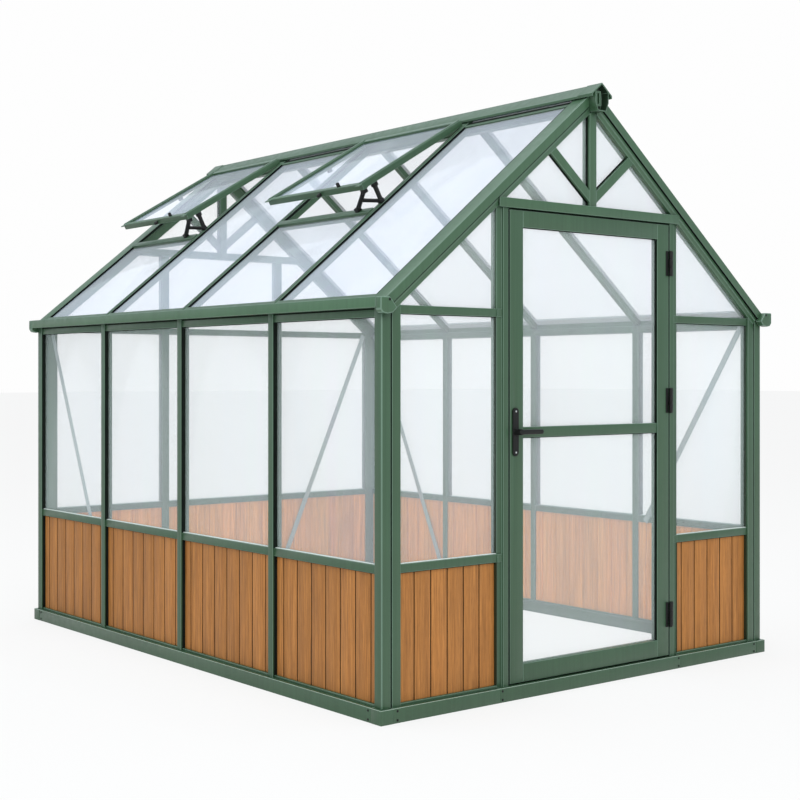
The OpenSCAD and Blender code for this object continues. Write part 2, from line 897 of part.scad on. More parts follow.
module vent_frame(k)
{
    span = vent_span(k);
    width = span[1] - span[0];
    slot = bite / 2;
    ear_t = 4;
    difference() {
        union() {
            translate([-vent_len, span[0], 0]) cube([vent_len, vent_bar, vent_h]);
            translate([-vent_len, span[1] - vent_bar, 0]) cube([vent_len, vent_bar, vent_h]);
            translate([-vent_bar, span[0], 0]) cube([vent_bar, width, vent_h]);
            translate([-vent_len, span[0], -vent_sag]) cube([vent_bar, width, vent_h]);
            for (y = [span[0], span[1] - vent_bar])
                translate([-vent_len - vent_ear, y, vent_h - 1.5 * ear_t])
                    cube([vent_ear + 1, vent_bar, ear_t]);
        }
        translate([-vent_len + vent_bar - slot, span[0] + vent_bar - slot, vent_h / 2 - pane_t / 2])
            cube([vent_len - 2 * vent_bar + 2 * slot, width - 2 * vent_bar + 2 * slot, pane_t]);
    }
}

module vent_frames()
{
    color(green) for (k = vent_bays) on_vent() vent_frame(k);
}

module vent_panes()
{
    lap = (bite - slot_gap) / 2;
    color(clear) for (k = vent_bays) on_vent() {
        span = vent_span(k);
        translate([-vent_len + vent_bar - lap, span[0] + vent_bar - lap, vent_h / 2 - pane_t / 2])
            cube([vent_len - 2 * vent_bar + 2 * lap, span[1] - span[0] - 2 * vent_bar + 2 * lap,
                pane_t]);
    }
}

module vent_sills()
{
    color(green) for (k = vent_bays) {
        span = roof_bay(k);
        on_slope(-1) translate([vent_sill_s, span[1], 0]) rotate([90, 0, 0])
            linear_extrude(span[1] - span[0]) difference() {
                translate([0, -vent_sill_h]) square([vent_sill_w, vent_sill_h + vent_sill_proud]);
                translate([-1, -roof_lip - pane_t]) square([bite + 1, pane_t]);
            }
        intersection() {
            on_slope(-1) translate([vent_top - vent_head_lap, span[0], -vent_sill_h])
                cube([vent_hinge + vent_head_lap, span[1] - span[0], vent_sill_h]);
            translate([-base_w, -base_l, 0]) cube([base_w - ridge_w / 2, 2 * base_l, ridge_z]);
        }
    }
}

// Point of the open vent, given in its own frame, in the slope's frame.
function vent_point(p) = [
    vent_top + p[0] * cos(vent_open) + p[2] * sin(vent_open),
    p[1],
    p[2] * cos(vent_open) - p[0] * sin(vent_open)
];

// Two arms and a cross link that prop the vent over roof bay k, on blocks that sit on
// the sill bar and the roof bar and hang under the vent's rails.
module vent_stay(k)
{
    half = stay_block / 2;
    high = 0.8 * stay_block;
    foot_y = roof_bay(k)[0] + stay_side;
    head_y = roof_bay(k)[0] + half;
    bar_y = roof_bay(k)[0] - roof_bar_w / 2;
    rail = -vent_len + vent_bar / 2;
    side = vent_span(k)[0] + vent_bar / 2;
    long_foot = [vent_sill_s + vent_sill_w / 2, foot_y, vent_sill_proud + high / 2];
    long_head = vent_point([rail, head_y, -vent_sag - high / 2]);
    short_foot = [vent_sill_s + vent_sill_w / 2 + stay_step, bar_y, high / 2];
    short_head = vent_point([rail + stay_step, side, -high / 2]);
    for (p = [long_foot, short_foot])
        translate(p - [half, half, high / 2]) cube([stay_block, stay_block, high]);
    translate([vent_top, 0, 0]) rotate([0, vent_open, 0]) {
        translate([rail - half, head_y - half, -vent_sag - high])
            cube([stay_block, stay_block, high]);
        translate([rail + stay_step - half, side - half, -high])
            cube([stay_block, stay_block, high]);
    }
    arm(long_foot, long_head, stay_w);
    arm(short_foot, short_head, stay_w);
    arm((long_foot + long_head) / 2, short_foot, 0.8 * stay_w);
}

module vent_stays()
{
    color(black) for (k = vent_bays) on_slope(-1) vent_stay(k);
}

// ---- Braces ----

// Flat bar inside a wall, from the top point to the foot point.
module brace(top, foot)
{
    run = top[0] - foot[0];
    rise = top[1] - foot[1];
    len = sqrt(run * run + rise * rise);
    translate([foot[0], frame_d + brace_t, foot[1]]) rotate([90, 0, 0])
        linear_extrude(brace_t) rotate([0, 0, atan2(rise, run)])
            translate([-brace_w / 2, -brace_w / 2]) square([len + brace_w, brace_w]);
}

module corner_braces()
{
    top_z = eave_rail_z + eave_rail_h / 2;
    foot_z = base_h + 2 * brace_w;
    top_u = end_y - post_w - brace_w;
    foot_u = end_y - bay;
    short_u = foot_u + mullion_w / 2 + 2 * brace_w;
    color(bright) {
        on_wall(LEFT) brace([-top_u, top_z], [-foot_u, foot_z]);
        on_wall(RIGHT) brace([top_u, top_z], [foot_u, foot_z]);
        on_wall(RIGHT) brace([-top_u, top_z], [-short_u, dado_z + dado_h / 2]);
        on_wall(BACK) brace([-stile_inner + brace_w, top_z], [-back_post_x, foot_z]);
    }
}

// ---- Door ----

hinge_zs = [door_z + hinge_low, door_z + hinge_mid, door_top - hinge_high];

// Plate and knuckles of one hinge half; side 1 lies on the jamb, side -1 on the leaf.
module hinge_half(side, z, segments)
{
    third = hinge_h / 3;
    plate_x = knuckle_r + 1;
    translate([hinge_x, 0, z - hinge_h / 2]) {
        translate([side > 0 ? plate_x : -plate_x - plate_w, -end_y - plate_t, 0])
            cube([plate_w, plate_t, hinge_h]);
        for (k = segments) translate([0, 0, k * third + knuckle_gap / 2]) {
            translate([0, hinge_y, 0]) cylinder(h = third - knuckle_gap, r = knuckle_r);
            translate([side > 0 ? 0 : -plate_x, -end_y - plate_t, 0])
                cube([plate_x, plate_t - 0.5, third - knuckle_gap]);
        }
    }
}

module jamb_hinges()
{
    color(black) for (z = hinge_zs) {
        hinge_half(1, z, [0, 2]);
        translate([hinge_x, hinge_y, z - hinge_h / 2]) cylinder(h = hinge_h, r = pin_r);
    }
}

module door_hinges()
{
    color(black) for (z = hinge_zs) difference() {
        hinge_half(-1, z, [1]);
        translate([hinge_x, hinge_y, z - hinge_h]) cylinder(h = 2 * hinge_h, r = pin_r + pin_fit);
    }
}

// Places the children on the spindle's axis, with z towards the outside.
module on_spindle()
{
    translate([handle_x, -end_y, handle_z]) rotate([90, 0, 0]) children();
}

module door_stiles()
{
    slot = (door_t - pane_t) / 2;
    color(green) difference() {
        for (side = [0, 1]) mirror([side, 0, 0])
            translate([-door_w / 2, -end_y, door_z]) linear_extrude(door_h) difference() {
                square([door_stile_w, door_t]);
                translate([door_stile_w - bite, slot]) square([bite + 1, pane_t]);
            }
        on_spindle() translate([0, 0, -2 * door_t]) cylinder(h = 3 * door_t, r = spindle_r + pin_fit);
    }
}

// Level bar of the door, with slots for the panes.
module door_rail(z, h, slot_top, slot_foot, inset)
{
    half = bite / 2;
    span = door_w - 2 * door_stile_w;
    slot = (door_t - pane_t) / 2;
    translate([-span / 2, -end_y, z]) rotate([90, 0, 90]) linear_extrude(span) difference() {
        translate([inset, 0]) square([door_t - 2 * inset, h]);
        if (slot_top) translate([slot, h - half]) square([pane_t, half + 1]);
        if (slot_foot) translate([slot, -1]) square([pane_t, half + 1]);
    }
}

module door_rails()
{
    color(green) {
        door_rail(door_z, door_foot_h, true, false, 0);
        door_rail(door_mid_z, door_mid_h, true, true, 3);
        door_rail(door_top - door_top_h, door_top_h, false, true, 0);
    }
}

module door_pane(z0, z1)
{
    side = bite - slot_gap;
    end = side / 2;
    span = door_w - 2 * door_stile_w;
    translate([-span / 2 - side, -end_y + (door_t - pane_t) / 2, z0 - end])
        cube([span + 2 * side, pane_t, z1 - z0 + 2 * end]);
}

module door_panes()
{
    color(clear) {
        door_pane(door_z + door_foot_h, door_mid_z);
        door_pane(door_mid_z + door_mid_h, door_top - door_top_h);
    }
}

module handle_plate()
{
    difference() {
        translate([-handle_plate_w / 2, -handle_plate_h / 2, 0])
            cube([handle_plate_w, handle_plate_h, handle_plate_t]);
        translate([0, 0, -1]) cylinder(h = handle_plate_t + 2, r = spindle_r + pin_fit);
    }
}

module door_handle_plates()
{
    color(black) on_spindle() {
        handle_plate();
        translate([0, 0, -door_t - handle_plate_t]) handle_plate();
    }
}

// Boss and arm of one lever, drawn outwards from the leaf's face.
module lever()
{
    foot = handle_plate_t + 0.3;
    arm = handle_plate_t + lever_gap;
    translate([0, 0, foot]) cylinder(h = arm - foot + 1, r = boss_r);
    translate([0, 0, arm]) linear_extrude(lever_t) {
        circle(r = boss_r);
        translate([0, -lever_h / 2]) square([lever_len - lever_h / 2, lever_h]);
        translate([lever_len - lever_h / 2, 0]) circle(r = lever_h / 2);
    }
}

module door_levers()
{
    reach = handle_plate_t + lever_gap;
    color(black) on_spindle() {
        translate([0, 0, -door_t - reach]) cylinder(h = door_t + 2 * reach, r = spindle_r);
        lever();
        translate([0, 0, -door_t]) mirror([0, 0, 1]) lever();
    }
}

base_rails();
base_front_rails();
door_sill();
base_corners();
corner_posts();
gable_stiles();
side_mullions();
back_posts();
door_jambs();
foot_rails();
dado_rails();
left_wood_panels();
right_wood_panels();
front_wood_panels();
back_wood_panels();
left_wall_panes();
right_wall_panes();
front_wall_panes();
back_wall_panes();
eave_rails();
gable_rails();
gutters();
gutter_end_caps();
gable_rafters();
gable_headers();
king_posts();
gable_struts();
gable_panes();
roof_bars();
left_roof_panes();
right_roof_panes();
ridge_beam();
ridge_cap();
ridge_end_caps();
vent_frames();
vent_panes();
vent_sills();
vent_stays();
corner_braces();
jamb_hinges();
door_stiles();
door_rails();
door_panes();
door_hinges();
door_handle_plates();
door_levers();
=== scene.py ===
"""Garden greenhouse: boards, sheets, seals, fittings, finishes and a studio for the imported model."""

import json
import math
import random
from contextlib import contextmanager

import bmesh
import bpy
from mathutils import Matrix, Vector

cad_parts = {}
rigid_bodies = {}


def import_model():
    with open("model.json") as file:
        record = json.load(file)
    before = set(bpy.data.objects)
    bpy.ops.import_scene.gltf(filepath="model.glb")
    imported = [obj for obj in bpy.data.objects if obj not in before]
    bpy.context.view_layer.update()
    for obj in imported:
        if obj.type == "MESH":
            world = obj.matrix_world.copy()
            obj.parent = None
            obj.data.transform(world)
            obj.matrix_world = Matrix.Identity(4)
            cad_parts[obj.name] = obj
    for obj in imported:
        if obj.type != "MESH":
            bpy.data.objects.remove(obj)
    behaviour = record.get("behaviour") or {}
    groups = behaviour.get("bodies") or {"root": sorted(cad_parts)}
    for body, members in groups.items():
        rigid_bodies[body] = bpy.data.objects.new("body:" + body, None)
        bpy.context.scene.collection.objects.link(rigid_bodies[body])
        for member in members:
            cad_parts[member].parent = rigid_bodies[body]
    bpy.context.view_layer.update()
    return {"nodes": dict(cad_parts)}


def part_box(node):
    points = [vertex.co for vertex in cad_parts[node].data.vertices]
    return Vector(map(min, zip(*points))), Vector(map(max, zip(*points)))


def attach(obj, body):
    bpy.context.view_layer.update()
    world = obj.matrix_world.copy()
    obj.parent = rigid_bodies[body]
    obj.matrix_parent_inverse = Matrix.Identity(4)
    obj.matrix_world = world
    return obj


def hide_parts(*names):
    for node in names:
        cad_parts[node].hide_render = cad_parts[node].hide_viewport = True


bl_info = {
    "name": "Garden Greenhouse",
    "version": (1, 0, 0),
    "blender": (4, 5, 0),
    "location": "View3D > Sidebar > Greenhouse",
    "description": "Builds the visible pieces of a boarded garden greenhouse on its packed model",
    "category": "Object",
}

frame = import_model()
NODES = frame["nodes"]

FRONT, RIGHT, BACK, LEFT = range(4)
POST_LOW, POST_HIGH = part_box("corner_posts")
SIDE_X, END_Y, BASE_TOP, GUTTER_Z = POST_HIGH.x, POST_HIGH.y, POST_LOW.z, POST_HIGH.z
BASE_X, BASE_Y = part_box("base_corners")[1].x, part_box("base_corners")[1].y
FOOT_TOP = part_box("foot_rails")[1].z
DADO_Z, GLASS_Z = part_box("dado_rails")[0].z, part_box("dado_rails")[1].z
EAVE_RAIL_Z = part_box("eave_rails")[0].z
GABLE_RAIL_Z, GABLE_RAIL_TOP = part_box("gable_rails")[0].z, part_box("gable_rails")[1].z
HEADER_Z, HEADER_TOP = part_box("gable_headers")[0].z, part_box("gable_headers")[1].z
GUTTER_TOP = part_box("gutters")[1].z
RAFTER_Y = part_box("gable_rafters")[1].y
DOOR_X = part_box("door_stiles")[1].x
DOOR_Z, DOOR_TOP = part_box("door_stiles")[0].z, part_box("door_stiles")[1].z
DOOR_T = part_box("door_stiles")[1].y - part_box("door_stiles")[0].y
RIDGE_END_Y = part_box("ridge_end_caps")[1].y
CAP_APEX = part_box("ridge_end_caps")[1].z


# ---------------------------------------------------------------- sizes and colours


def length(name, description, default):
    return bpy.props.FloatProperty(name=name, description=description, default=default, unit="LENGTH")


def angle(name, description, degrees):
    return bpy.props.FloatProperty(
        name=name, description=description, default=math.radians(degrees), subtype="ANGLE"
    )


def tint(name, description, default):
    return bpy.props.FloatVectorProperty(
        name=name, description=description, default=default, subtype="COLOR"
    )


class GreenhouseSizes(bpy.types.PropertyGroup):
    arris: length("Arris", "Rounding along the edges of the bars", 0.0014)
    post_arris: length("Post arris", "Rounding of the corner posts' outer edge", 0.0035)
    fine_arris: length("Fine arris", "Rounding along the edges of thin folded parts", 0.0008)
    post: length("Post", "Width of a corner post", 0.036)
    stile_inner: length(
        "Gable opening", "Distance from the middle to the gable stile's inner edge", 0.862
    )
    stile: length("Gable stile", "Width of a gable stile", 0.034)
    mullion: length("Mullion", "Width of a side wall's mullion", 0.028)
    jamb: length("Jamb", "Distance from the middle to the outer edge of the door jamb", 0.450)
    back_post: length("Back post", "Distance from the middle to the middle of a back post", 0.317)
    recess: length("Recess", "Depth of the sheets behind the face of the bars", 0.018)
    rail_back: length("Rail set-back", "Depth of the rails' face behind the face of the posts", 0.006)
    seal: length("Seal", "Width of a rubber seal beside a sheet", 0.0022)
    seal_width: length("Roof seal", "Width of a rubber seal beside a roof sheet", 0.0040)
    seal_depth: length("Seal depth", "Depth of a rubber seal", 0.009)
    board_gap: length("Board gap", "Gap between two boards", 0.0032)
    board_chamfer: length("Board chamfer", "Chamfer along a board's long edges", 0.0015)
    tongue: length("Tongue", "Thickness of a board's tongue", 0.003)
    board_t: length("Board thickness", "Thickness of a board", 0.010)
    screw: length("Screw", "Radius of a screw head", 0.0038)
    eave: length("Eave", "Height where the roof planes meet the edge of the base", 1.29517)
    roof_angle: angle("Roof angle", "Slope of the roof", 39)
    roof_bar: length("Roof bar", "Width of a roof bar", 0.024)
    rafter: length("Rafter", "Width of a gable rafter", 0.060)
    sheet_depth: length("Roof sheet depth", "Depth of the roof sheets below the bars", 0.008)
    rafter_cover: length("Rafter cover", "Thickness of the cover on a gable rafter's face", 0.008)
    rafter_cover_h: length("Rafter cover height", "Height of the cover on a gable rafter's face", 0.029)
    ridge_half: length("Ridge housing", "Half the width of the ridge's end housing", 0.033)
    strut: length("Strut", "Width of a gable strut", 0.032)
    vent_len: length("Vent length", "Length of a roof vent down the slope", 0.550)
    vent_bar: length("Vent bar", "Width of a vent's frame bars", 0.022)
    vent_h: length("Vent height", "Height of a vent's frame", 0.024)
    vent_hinge: length("Vent hinge", "Distance from the ridge line down to the vents' hinge line", 0.076)
    vent_open: angle("Vent opening", "Angle at which the vents stand open", 8.5)
    door_gap: length("Door gap", "Gap between the door and its frame", 0.006)
    door_stile: length("Door stile", "Width of the door's upright bars", 0.061)
    door_foot: length("Door foot rail", "Height of the door's foot rail", 0.060)
    door_top: length("Door top rail", "Height of the door's top rail", 0.055)
    door_mid: length("Door mid rail", "Height of the mid rail's lower edge", 0.865)
    door_mid_h: length("Door mid rail height", "Height of the door's mid rail", 0.035)


class GreenhouseColours(bpy.types.PropertyGroup):
    coat: tint("Coat", "Green powder coat of the frame", (0.034, 0.082, 0.041))
    # The arris colour is a painted highlight: a lighter coat on the rounded edges, where light catches
    # them.
    arris: tint("Arris", "Lighter coat where it thins along the edges", (0.105, 0.18, 0.13))
    # The bright edge colour is a painted highlight along the base rails' upper edges, where the light
    # falls.
    edge: tint("Bright edge", "Worn upper edge of the base rails", (0.30, 0.38, 0.32))
    timber: tint("Timber", "Middle tone of the boards", (0.388, 0.158, 0.038))
    timber_inside: tint("Timber inside", "Paler tone of the boards' inner face", (0.68, 0.275, 0.058))
    # The board groove colour paints the tongues and groove sides near-black: painted shade in the
    # grooves between the boards.
    groove_shade: tint("Board groove", "Dark stain in the grooves between the boards", (0.010, 0.005, 0.003))
    sill: tint("Sill bead", "Pale bead under the wall sheets", (0.66, 0.72, 0.69))
    wall_veil: tint("Wall sheets", "Tint of the clear wall sheets", (0.74, 0.79, 0.84))
    roof_veil: tint("Roof sheets", "Tint of the clear roof sheets", (0.53, 0.60, 0.78))
    # The underside's tint goes with the painted glow on the roof sheets' undersides.
    roof_lining: tint(
        "Roof sheets' underside", "Tint of the underside of the roof sheets", (0.24, 0.25, 0.28)
    )
    fitting: tint("Fittings", "Black of the hinges, handle and stays", (0.006, 0.006, 0.006))
    rubber: tint("Seals", "Near-black rubber of the seals", (0.004, 0.007, 0.005))
    brace: tint("Braces", "Pale metal of the braces", (0.27, 0.32, 0.31))
    steel: tint("Screws", "Bright metal of the handle's screws", (0.55, 0.56, 0.56))
    backdrop: tint("Backdrop", "Floor and background of the studio", (0.990, 0.990, 0.990))


def sizes():
    return bpy.context.scene.greenhouse_sizes


def colours():
    return bpy.context.scene.greenhouse_colours


# ---------------------------------------------------------------- places


def shift(x, y, z):
    return Matrix.Translation((x, y, z))


def turn(degrees, axis):
    return Matrix.Rotation(math.radians(degrees), 4, axis)


def on_wall(wall):
    """Places work laid out along a wall: x along it, y into the greenhouse, z up."""
    depth = END_Y if wall in (FRONT, BACK) else SIDE_X
    return turn(90 * wall, "Z") @ shift(0, -depth, 0)


def on_slope(side):
    """Places work laid out on a roof slope, left for -1: x up it, y along the roof, z out of it."""
    tilt = shift(-BASE_X, 0, sizes().eave) @ Matrix.Rotation(-sizes().roof_angle, 4, "Y")
    return Matrix.Scale(side * -1 if side > 0 else 1, 4, (1, 0, 0)) @ tilt


def outwards(wall, along, depth, z):
    """A place on a wall whose z axis points out of it."""
    return on_wall(wall) @ shift(along, depth, z) @ turn(90, "X")


def side_bays():
    s = sizes()
    bay = END_Y / 2
    edges = [-END_Y + s.post]
    for k in (-1, 0, 1):
        edges += [k * bay - s.mullion / 2, k * bay + s.mullion / 2]
    edges.append(END_Y - s.post)
    return list(zip(edges[::2], edges[1::2]))


def front_bays():
    s = sizes()
    return [(-s.stile_inner, -s.jamb), (s.jamb, s.stile_inner)]


def back_bays():
    s = sizes()
    near, far = s.back_post - s.post / 2, s.back_post + s.post / 2
    return [(-s.stile_inner, -far), (-near, near), (far, s.stile_inner)]


WALL_BAYS = {FRONT: front_bays, RIGHT: side_bays, BACK: back_bays, LEFT: side_bays}
WALL_NAMES = {FRONT: "front", RIGHT: "right", BACK: "back", LEFT: "left"}


def roof_bays():
    """The roof's openings along y, from the back."""
    s = sizes()
    bay, half, edge = END_Y / 2, s.roof_bar / 2, RAFTER_Y - s.rafter
    return [(bay + half, edge), (half, bay - half), (-bay + half, -half), (-edge, -bay - half)]


# ---------------------------------------------------------------- making meshes

MERGE, FLAT = 0.00002, math.radians(0.5)
CLOSE, SEAL_ARRIS = 0.001, 0.0005


def choose(*objs):
    bpy.ops.object.select_all(action="DESELECT")
    for obj in objs:
        obj.select_set(True)
    bpy.context.view_layer.objects.active = objs[0]


@contextmanager
def editing(obj, kind="FACE", everything=False):
    choose(obj)
    bpy.ops.object.mode_set(mode="EDIT")
    bpy.ops.mesh.select_mode(type=kind)
    bpy.ops.mesh.select_all(action="SELECT" if everything else "DESELECT")
    try:
        yield
    finally:
        bpy.ops.object.mode_set(mode="OBJECT")


def pick_faces(obj, test):
    """Selects the faces whose centre and normal pass the test."""
    mesh = bmesh.from_edit_mesh(obj.data)
    for face in mesh.faces:
        if test(face.calc_center_median(), face.normal):
            face.select_set(True)
    bmesh.update_edit_mesh(obj.data)


def pick_edges(obj, test):
    """Selects the edges whose middle and direction pass the test."""
    mesh = bmesh.from_edit_mesh(obj.data)
    for edge in mesh.edges:
        a, b = edge.verts[0].co, edge.verts[1].co
        if test((a + b) / 2, (b - a).normalized()):
            edge.select_set(True)
    bmesh.update_edit_mesh(obj.data)


def extrude(x, y, z):
    """Extrudes the selected faces of the mesh in edit mode."""
    bpy.ops.mesh.extrude_region_move(TRANSFORM_OT_translate={"value": (x, y, z)})


def settle(obj):
    choose(obj)
    bpy.ops.object.transform_apply(location=True, rotation=True, scale=True)
    return obj


def put(obj, place):
    """Moves a part to its place for good; a mirrored one is turned right side out."""
    obj.matrix_world = place @ obj.matrix_world
    settle(obj)
    if place.determinant() < 0:
        with editing(obj, everything=True):
            bpy.ops.mesh.normals_make_consistent(inside=False)
    return obj


def named(obj, name):
    obj.name = obj.data.name = name
    return obj


def block(name, low, high):
    low, high = Vector(low), Vector(high)
    bpy.ops.object.select_all(action="DESELECT")
    bpy.ops.mesh.primitive_cube_add(size=1, location=(low + high) / 2, scale=high - low)
    return settle(named(bpy.context.active_object, name))


def rod(name, radius, low, high, sides=20):
    """A round bar along z, from low to high."""
    bpy.ops.object.select_all(action="DESELECT")
    bpy.ops.mesh.primitive_cylinder_add(
        vertices=sides, radius=radius, depth=high - low, location=(0, 0, (low + high) / 2)
    )
    return settle(named(bpy.context.active_object, name))


def joined(name, parts):
    choose(*parts)
    if len(parts) > 1:
        bpy.ops.object.join()
    return named(bpy.context.active_object, name)


def stamped(name, part, places):
    """One piece made of copies of a part, one at each place."""
    copies = []
    for place in places:
        choose(part)
        bpy.ops.object.duplicate()
        copies.append(put(bpy.context.active_object, place))
    choose(part)
    bpy.ops.object.delete()
    return joined(name, copies)


def modify(obj, kind, **settings):
    choose(obj)
    bpy.ops.object.modifier_add(type=kind)
    modifier = obj.modifiers[-1]
    for key, value in settings.items():
        setattr(modifier, key, value)
    bpy.ops.object.modifier_apply(modifier=modifier.name)


def soften(obj, width, segments=2, angle=30, material=-1):
    """Rounds a piece's sharp edges, which may take their own material, and shades it smooth."""
    choose(obj)
    bpy.ops.object.shade_smooth()
    modify(
        obj,
        "BEVEL",
        width=width,
        segments=segments,
        limit_method="ANGLE",
        angle_limit=math.radians(angle),
        use_clamp_overlap=False,
        harden_normals=True,
        material=material,
    )


def copy_node(node, name):
    """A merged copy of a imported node, which it then stands for."""
    choose(NODES[node])
    bpy.ops.object.duplicate()
    piece = named(bpy.context.active_object, name)
    bpy.ops.object.parent_clear(type="CLEAR_KEEP_TRANSFORM")
    for key in list(piece.keys()):
        del piece[key]
    piece.data.materials.clear()
    with editing(piece, everything=True):
        bpy.ops.mesh.remove_doubles(threshold=MERGE)
        bpy.ops.mesh.dissolve_limited(angle_limit=FLAT)
    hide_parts(node)
    return piece


def cut(obj, point, normal, test=None, **settings):
    """Cuts a mesh, or its faces that pass the test, along a plane."""
    with editing(obj, everything=test is None):
        if test:
            pick_faces(obj, test)
        bpy.ops.mesh.bisect(plane_co=point, plane_no=normal, **settings)


def finished(piece, body, slot, *finishes):
    """Gives a piece its body and, if it has none yet, its finishes; the slot is not used."""
    if not piece.data.materials:
        for finish in finishes:
            piece.data.materials.append(finish_of(finish))
    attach(piece, body)
    return piece


def blackened(piece, body="frame"):
    return finished(piece, body, "black_fittings", "black")


def coated(piece, arris, body="frame", segments=2, edge="arris", coat="coat"):
    """Finishes a green piece, with a painted highlight, a lighter coat, on its rounded edges."""
    finished(piece, body, "green_frame", coat, edge)
    soften(piece, arris, segments, material=1)
    return piece


def strips(name, boxes, place, arris):
    """A piece of straight strips, each laid out by two corners before it is placed."""
    piece = put(joined(name, [block(name, low, high) for low, high in boxes]), place)
    soften(piece, arris, 1)
    return piece


def seals(name, boxes, place, body="frame"):
    return finished(strips(name, boxes, place, SEAL_ARRIS), body, "black_fittings", "rubber")


def screw_head(radius, height):
    """A low screw head with a recess, standing on the xy plane."""
    head = rod("screw", radius, -height, height, 16)
    with editing(head):
        pick_faces(head, lambda centre, normal: normal.z > 0.9)
        bpy.ops.mesh.inset(thickness=radius * 0.25)
        bpy.ops.transform.translate(value=(0, 0, height * 0.3))
        bpy.ops.mesh.inset(thickness=radius * 0.3)
        extrude(0, 0, -height * 0.8)
    choose(head)
    bpy.ops.object.shade_smooth_by_angle(angle=math.radians(35))
    return head


# ---------------------------------------------------------------- finishes


class Recipe:
    """A node material with its nodes added one by one."""

    def __init__(self, name):
        self.material = bpy.data.materials.new(name)
        self.material.use_nodes = True
        self.tree = self.material.node_tree
        self.shader = self.tree.nodes["Principled BSDF"]
        self.place = self.add("TexCoord").outputs["Object"]

    def add(self, kind, **settings):
        node = self.tree.nodes.new("ShaderNode" + kind)
        for key, value in settings.items():
            setattr(node, key, value)
        return node

    def join(self, source, target):
        self.tree.links.new(source, target)

    def stretched(self, x, y, z):
        node = self.add("Mapping")
        node.inputs["Scale"].default_value = (x, y, z)
        self.join(self.place, node.inputs["Vector"])
        return node.outputs["Vector"]

    def noise(self, scale, detail=2.0, rough=0.5, where=None):
        node = self.add("TexNoise")
        node.inputs["Scale"].default_value = scale
        node.inputs["Detail"].default_value = detail
        node.inputs["Roughness"].default_value = rough
        self.join(where or self.place, node.inputs["Vector"])
        return node.outputs["Fac"]

    def spread(self, source, low, high, start=0.3, end=0.7):
        node = self.add("MapRange")
        for key, value in {"From Min": start, "From Max": end, "To Min": low, "To Max": high}.items():
            node.inputs[key].default_value = value
        self.join(source, node.inputs["Value"])
        return node.outputs["Result"]

    def ramp(self, source, stops):
        node = self.add("ValToRGB")
        while len(node.color_ramp.elements) < len(stops):
            node.color_ramp.elements.new(0.5)
        for element, (position, colour) in zip(node.color_ramp.elements, stops):
            element.position = position
            element.color = (*colour, 1)
        self.join(source, node.inputs["Fac"])
        return node.outputs["Color"]

    def times(self, colour, factor):
        """A colour multiplied by a grey factor."""
        node = self.add("VectorMath", operation="SCALE")
        self.join(colour, node.inputs[0])
        self.join(factor, node.inputs["Scale"])
        return node.outputs[0]

    def attribute(self, name):
        return self.add("Attribute", attribute_name=name).outputs["Fac"]

    def bump(self, source, strength, distance):
        node = self.add("Bump")
        node.inputs["Strength"].default_value = strength
        node.inputs["Distance"].default_value = distance
        self.join(source, node.inputs["Height"])
        self.join(node.outputs["Normal"], self.shader.inputs["Normal"])

    def colour(self, source):
        self.join(source, self.shader.inputs["Base Color"])

    def rough(self, source):
        self.join(source, self.shader.inputs["Roughness"])

    def set(self, **values):
        for key, value in values.items():
            self.shader.inputs[key.replace("_", " ")].default_value = value


def shade(colour, factor):
    return tuple(min(1.0, c * factor) for c in colour)


def powder_coat(name, colour):
    """Satin powder coat: soft clouds, long faint draw lines and a fine pebble."""
    r = Recipe(name)
    cloud = r.noise(2.5, 3.0)
    lines = r.noise(1.0, 3.0, 0.6, r.stretched(130.0, 130.0, 1.2))
    tone = r.ramp(cloud, [(0.3, shade(colour, 0.93)), (0.7, shade(colour, 1.07))])
    r.colour(r.times(tone, r.spread(lines, 0.9, 1.1)))
    r.rough(r.spread(r.noise(35.0, 2.0), 0.33, 0.43))
    r.bump(r.noise(900.0, 1.0), 0.15, 0.0002)
    return r.material


def black_coat(name, colour):
    r = Recipe(name)
    cloud = r.noise(30.0, 3.0)
    r.colour(r.ramp(cloud, [(0.3, shade(colour, 0.8)), (0.7, shade(colour, 1.5))]))
    r.rough(r.spread(r.noise(60.0, 2.0), 0.4, 0.5))
    r.bump(r.noise(1500.0, 1.0), 0.15, 0.0002)
    r.set(Specular_IOR_Level=0.25)
    return r.material


def soft_rubber(name, colour):
    r = Recipe(name)
    cloud = r.noise(20.0, 3.0)
    r.colour(r.ramp(cloud, [(0.3, shade(colour, 0.7)), (0.7, shade(colour, 1.4))]))
    r.rough(r.spread(r.noise(80.0, 2.0), 0.65, 0.8))
    r.bump(r.noise(700.0, 2.0), 0.2, 0.0003)
    r.set(Specular_IOR_Level=0.12)
    return r.material


def brushed_metal(name, colour, metallic):
    r = Recipe(name)
    lines = r.noise(1.0, 4.0, 0.6, r.stretched(60.0, 60.0, 240.0))
    r.colour(r.ramp(lines, [(0.3, shade(colour, 0.88)), (0.7, shade(colour, 1.1))]))
    r.rough(r.spread(r.noise(25.0, 3.0), 0.35, 0.5))
    r.bump(lines, 0.1, 0.0002)
    r.set(Metallic=metallic)
    return r.material


def clear_sheet(name, colour, alpha, shine, glow):
    """A clear sheet with long faint bands of tint; its glow is painted light that stands for the
    daylight it spreads.
    """
    r = Recipe(name)
    bands = r.noise(1.0, 2.0, 0.5, r.stretched(11.0, 11.0, 0.5))
    fine = r.noise(1.0, 2.0, 0.5, r.stretched(60.0, 60.0, 1.0))
    red, green, blue = colour
    tone = r.ramp(
        bands,
        [
            (0.30, (red * 0.95, green, blue * 1.02)),
            (0.45, colour),
            (0.58, (red * 0.97, green * 1.03, blue * 0.99)),
            (0.70, (red * 1.03, green * 0.99, blue * 1.04)),
        ],
    )
    r.colour(r.times(tone, r.spread(fine, 0.97, 1.03)))
    r.rough(r.spread(r.noise(6.0, 2.0), 0.08, 0.12))
    r.set(Alpha=alpha, Specular_IOR_Level=shine)
    # The emission is painted light: the sheet glows though it is no lamp.
    r.set(Emission_Color=PAINTED_GLOW, Emission_Strength=glow)
    return r.material


